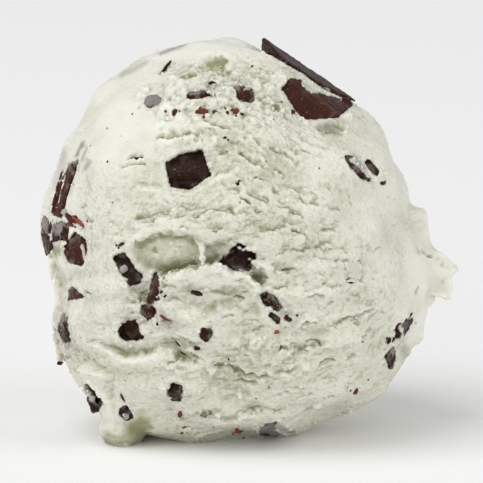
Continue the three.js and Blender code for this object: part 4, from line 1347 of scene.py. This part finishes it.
tears_normal = add(tree, "ShaderNodeBump", {"Height": tears, "Normal": grain.outputs["Normal"]}, Strength=0.8, Distance=0.0002)
tears_normal.invert = True
tree.links.new(tears_normal.outputs["Normal"], shader.inputs["Normal"])
shader.inputs["Roughness"].default_value = 0.55
shader.inputs["IOR"].default_value = 1.36
shader.inputs["Subsurface Weight"].default_value = 0.3
shader.inputs["Subsurface Radius"].default_value = (1.0, 0.9, 0.6)
shader.inputs["Subsurface Scale"].default_value = 0.0004
for piece in (scoop, fine_crumbs):
    piece.data.materials.clear()
    piece.data.materials.append(material)

# %% Broken dark chocolate
material, tree, shader = new_material("broken_dark_chocolate")
DARK = linear("#29170f")
RED_BROWN = linear("#552a20")
ORANGE_BROWN = linear("#a05a44")
MILKY = linear("#968e8b")
coloured = tint(tree, ramp(tree, attribute(tree, "red"), 0, 1, 0.8), DARK, RED_BROWN)
thin_edged = tint(tree, ramp(tree, attribute(tree, "red"), 1, 2), coloured, ORANGE_BROWN)
speckled = tint(tree, ramp(tree, cloud(tree, 3200, 1.0), 0.68, 0.76, 0.6), thin_edged, MILKY)
veiled = tint(tree, ramp(tree, attribute(tree, "veil"), 0, 1, 0.85), speckled, MILKY)
tree.links.new(veiled, shader.inputs["Base Color"])
nicks = add(tree, "ShaderNodeBump", {"Height": cloud(tree, 1800, 3.0)}, Strength=0.4, Distance=0.0002)
tree.links.new(nicks.outputs["Normal"], shader.inputs["Normal"])
shader.inputs["Roughness"].default_value = 0.35
shader.inputs["IOR"].default_value = 1.45
shader.inputs["Specular IOR Level"].default_value = 0.12
for chip in chips + [bits]:
    chip.data.materials.clear()
    chip.data.materials.append(material)

# %% [markdown]
# ## Floor, light and camera

# %% A pale floor
deselect_all()
bpy.ops.mesh.primitive_plane_add(size=4)
floor = bpy.context.object
floor.name = "floor"
material, tree, shader = new_material("pale_studio_paper")
shader.inputs["Base Color"].default_value = (0.97, 0.97, 0.97, 1)
shader.inputs["Roughness"].default_value = 0.9
floor.data.materials.append(material)

# %% Soft light from the upper left
world = bpy.data.worlds.new("studio")
world.use_nodes = True
world.node_tree.nodes["Background"].inputs["Color"].default_value = (1, 1, 1, 1)
world.node_tree.nodes["Background"].inputs["Strength"].default_value = 0.46
bpy.context.scene.world = world


def area_light(name, place, size, watts):
    data = bpy.data.lights.new(name, "AREA")
    data.size = size
    data.energy = watts
    lamp = bpy.data.objects.new(name, data)
    lamp.location = place
    lamp.rotation_euler = (Vector((0, 0, 0.03)) - Vector(place)).to_track_quat("-Z", "Y").to_euler()
    bpy.context.scene.collection.objects.link(lamp)
    return lamp


area_light("key", (-1.35, -0.85, 2.60), 2.2, 46)
area_light("fill", (2.55, -1.00, 0.95), 1.8, 24)
area_light("low_fill", (-1.10, -2.60, 0.30), 1.8, 23)

# %% The camera looks level into the face
CAMERA_DISTANCE = 1200
FRAME_WIDTH = 483 / 6
AIM = (1.9, -0.25)
camera_data = bpy.data.cameras.new("camera")
camera_data.lens = camera_data.sensor_width * CAMERA_DISTANCE / FRAME_WIDTH
camera_data.clip_end = 10
camera = bpy.data.objects.new("camera", camera_data)
camera.location = to_row(np.array([AIM[0], AIM[1], CAMERA_DISTANCE]))
camera.rotation_euler = Vector(-FACE_AXES[2]).to_track_quat("-Z", "Y").to_euler()
bpy.context.scene.collection.objects.link(camera)
bpy.context.scene.camera = camera
bpy.context.scene.view_settings.view_transform = "Standard"
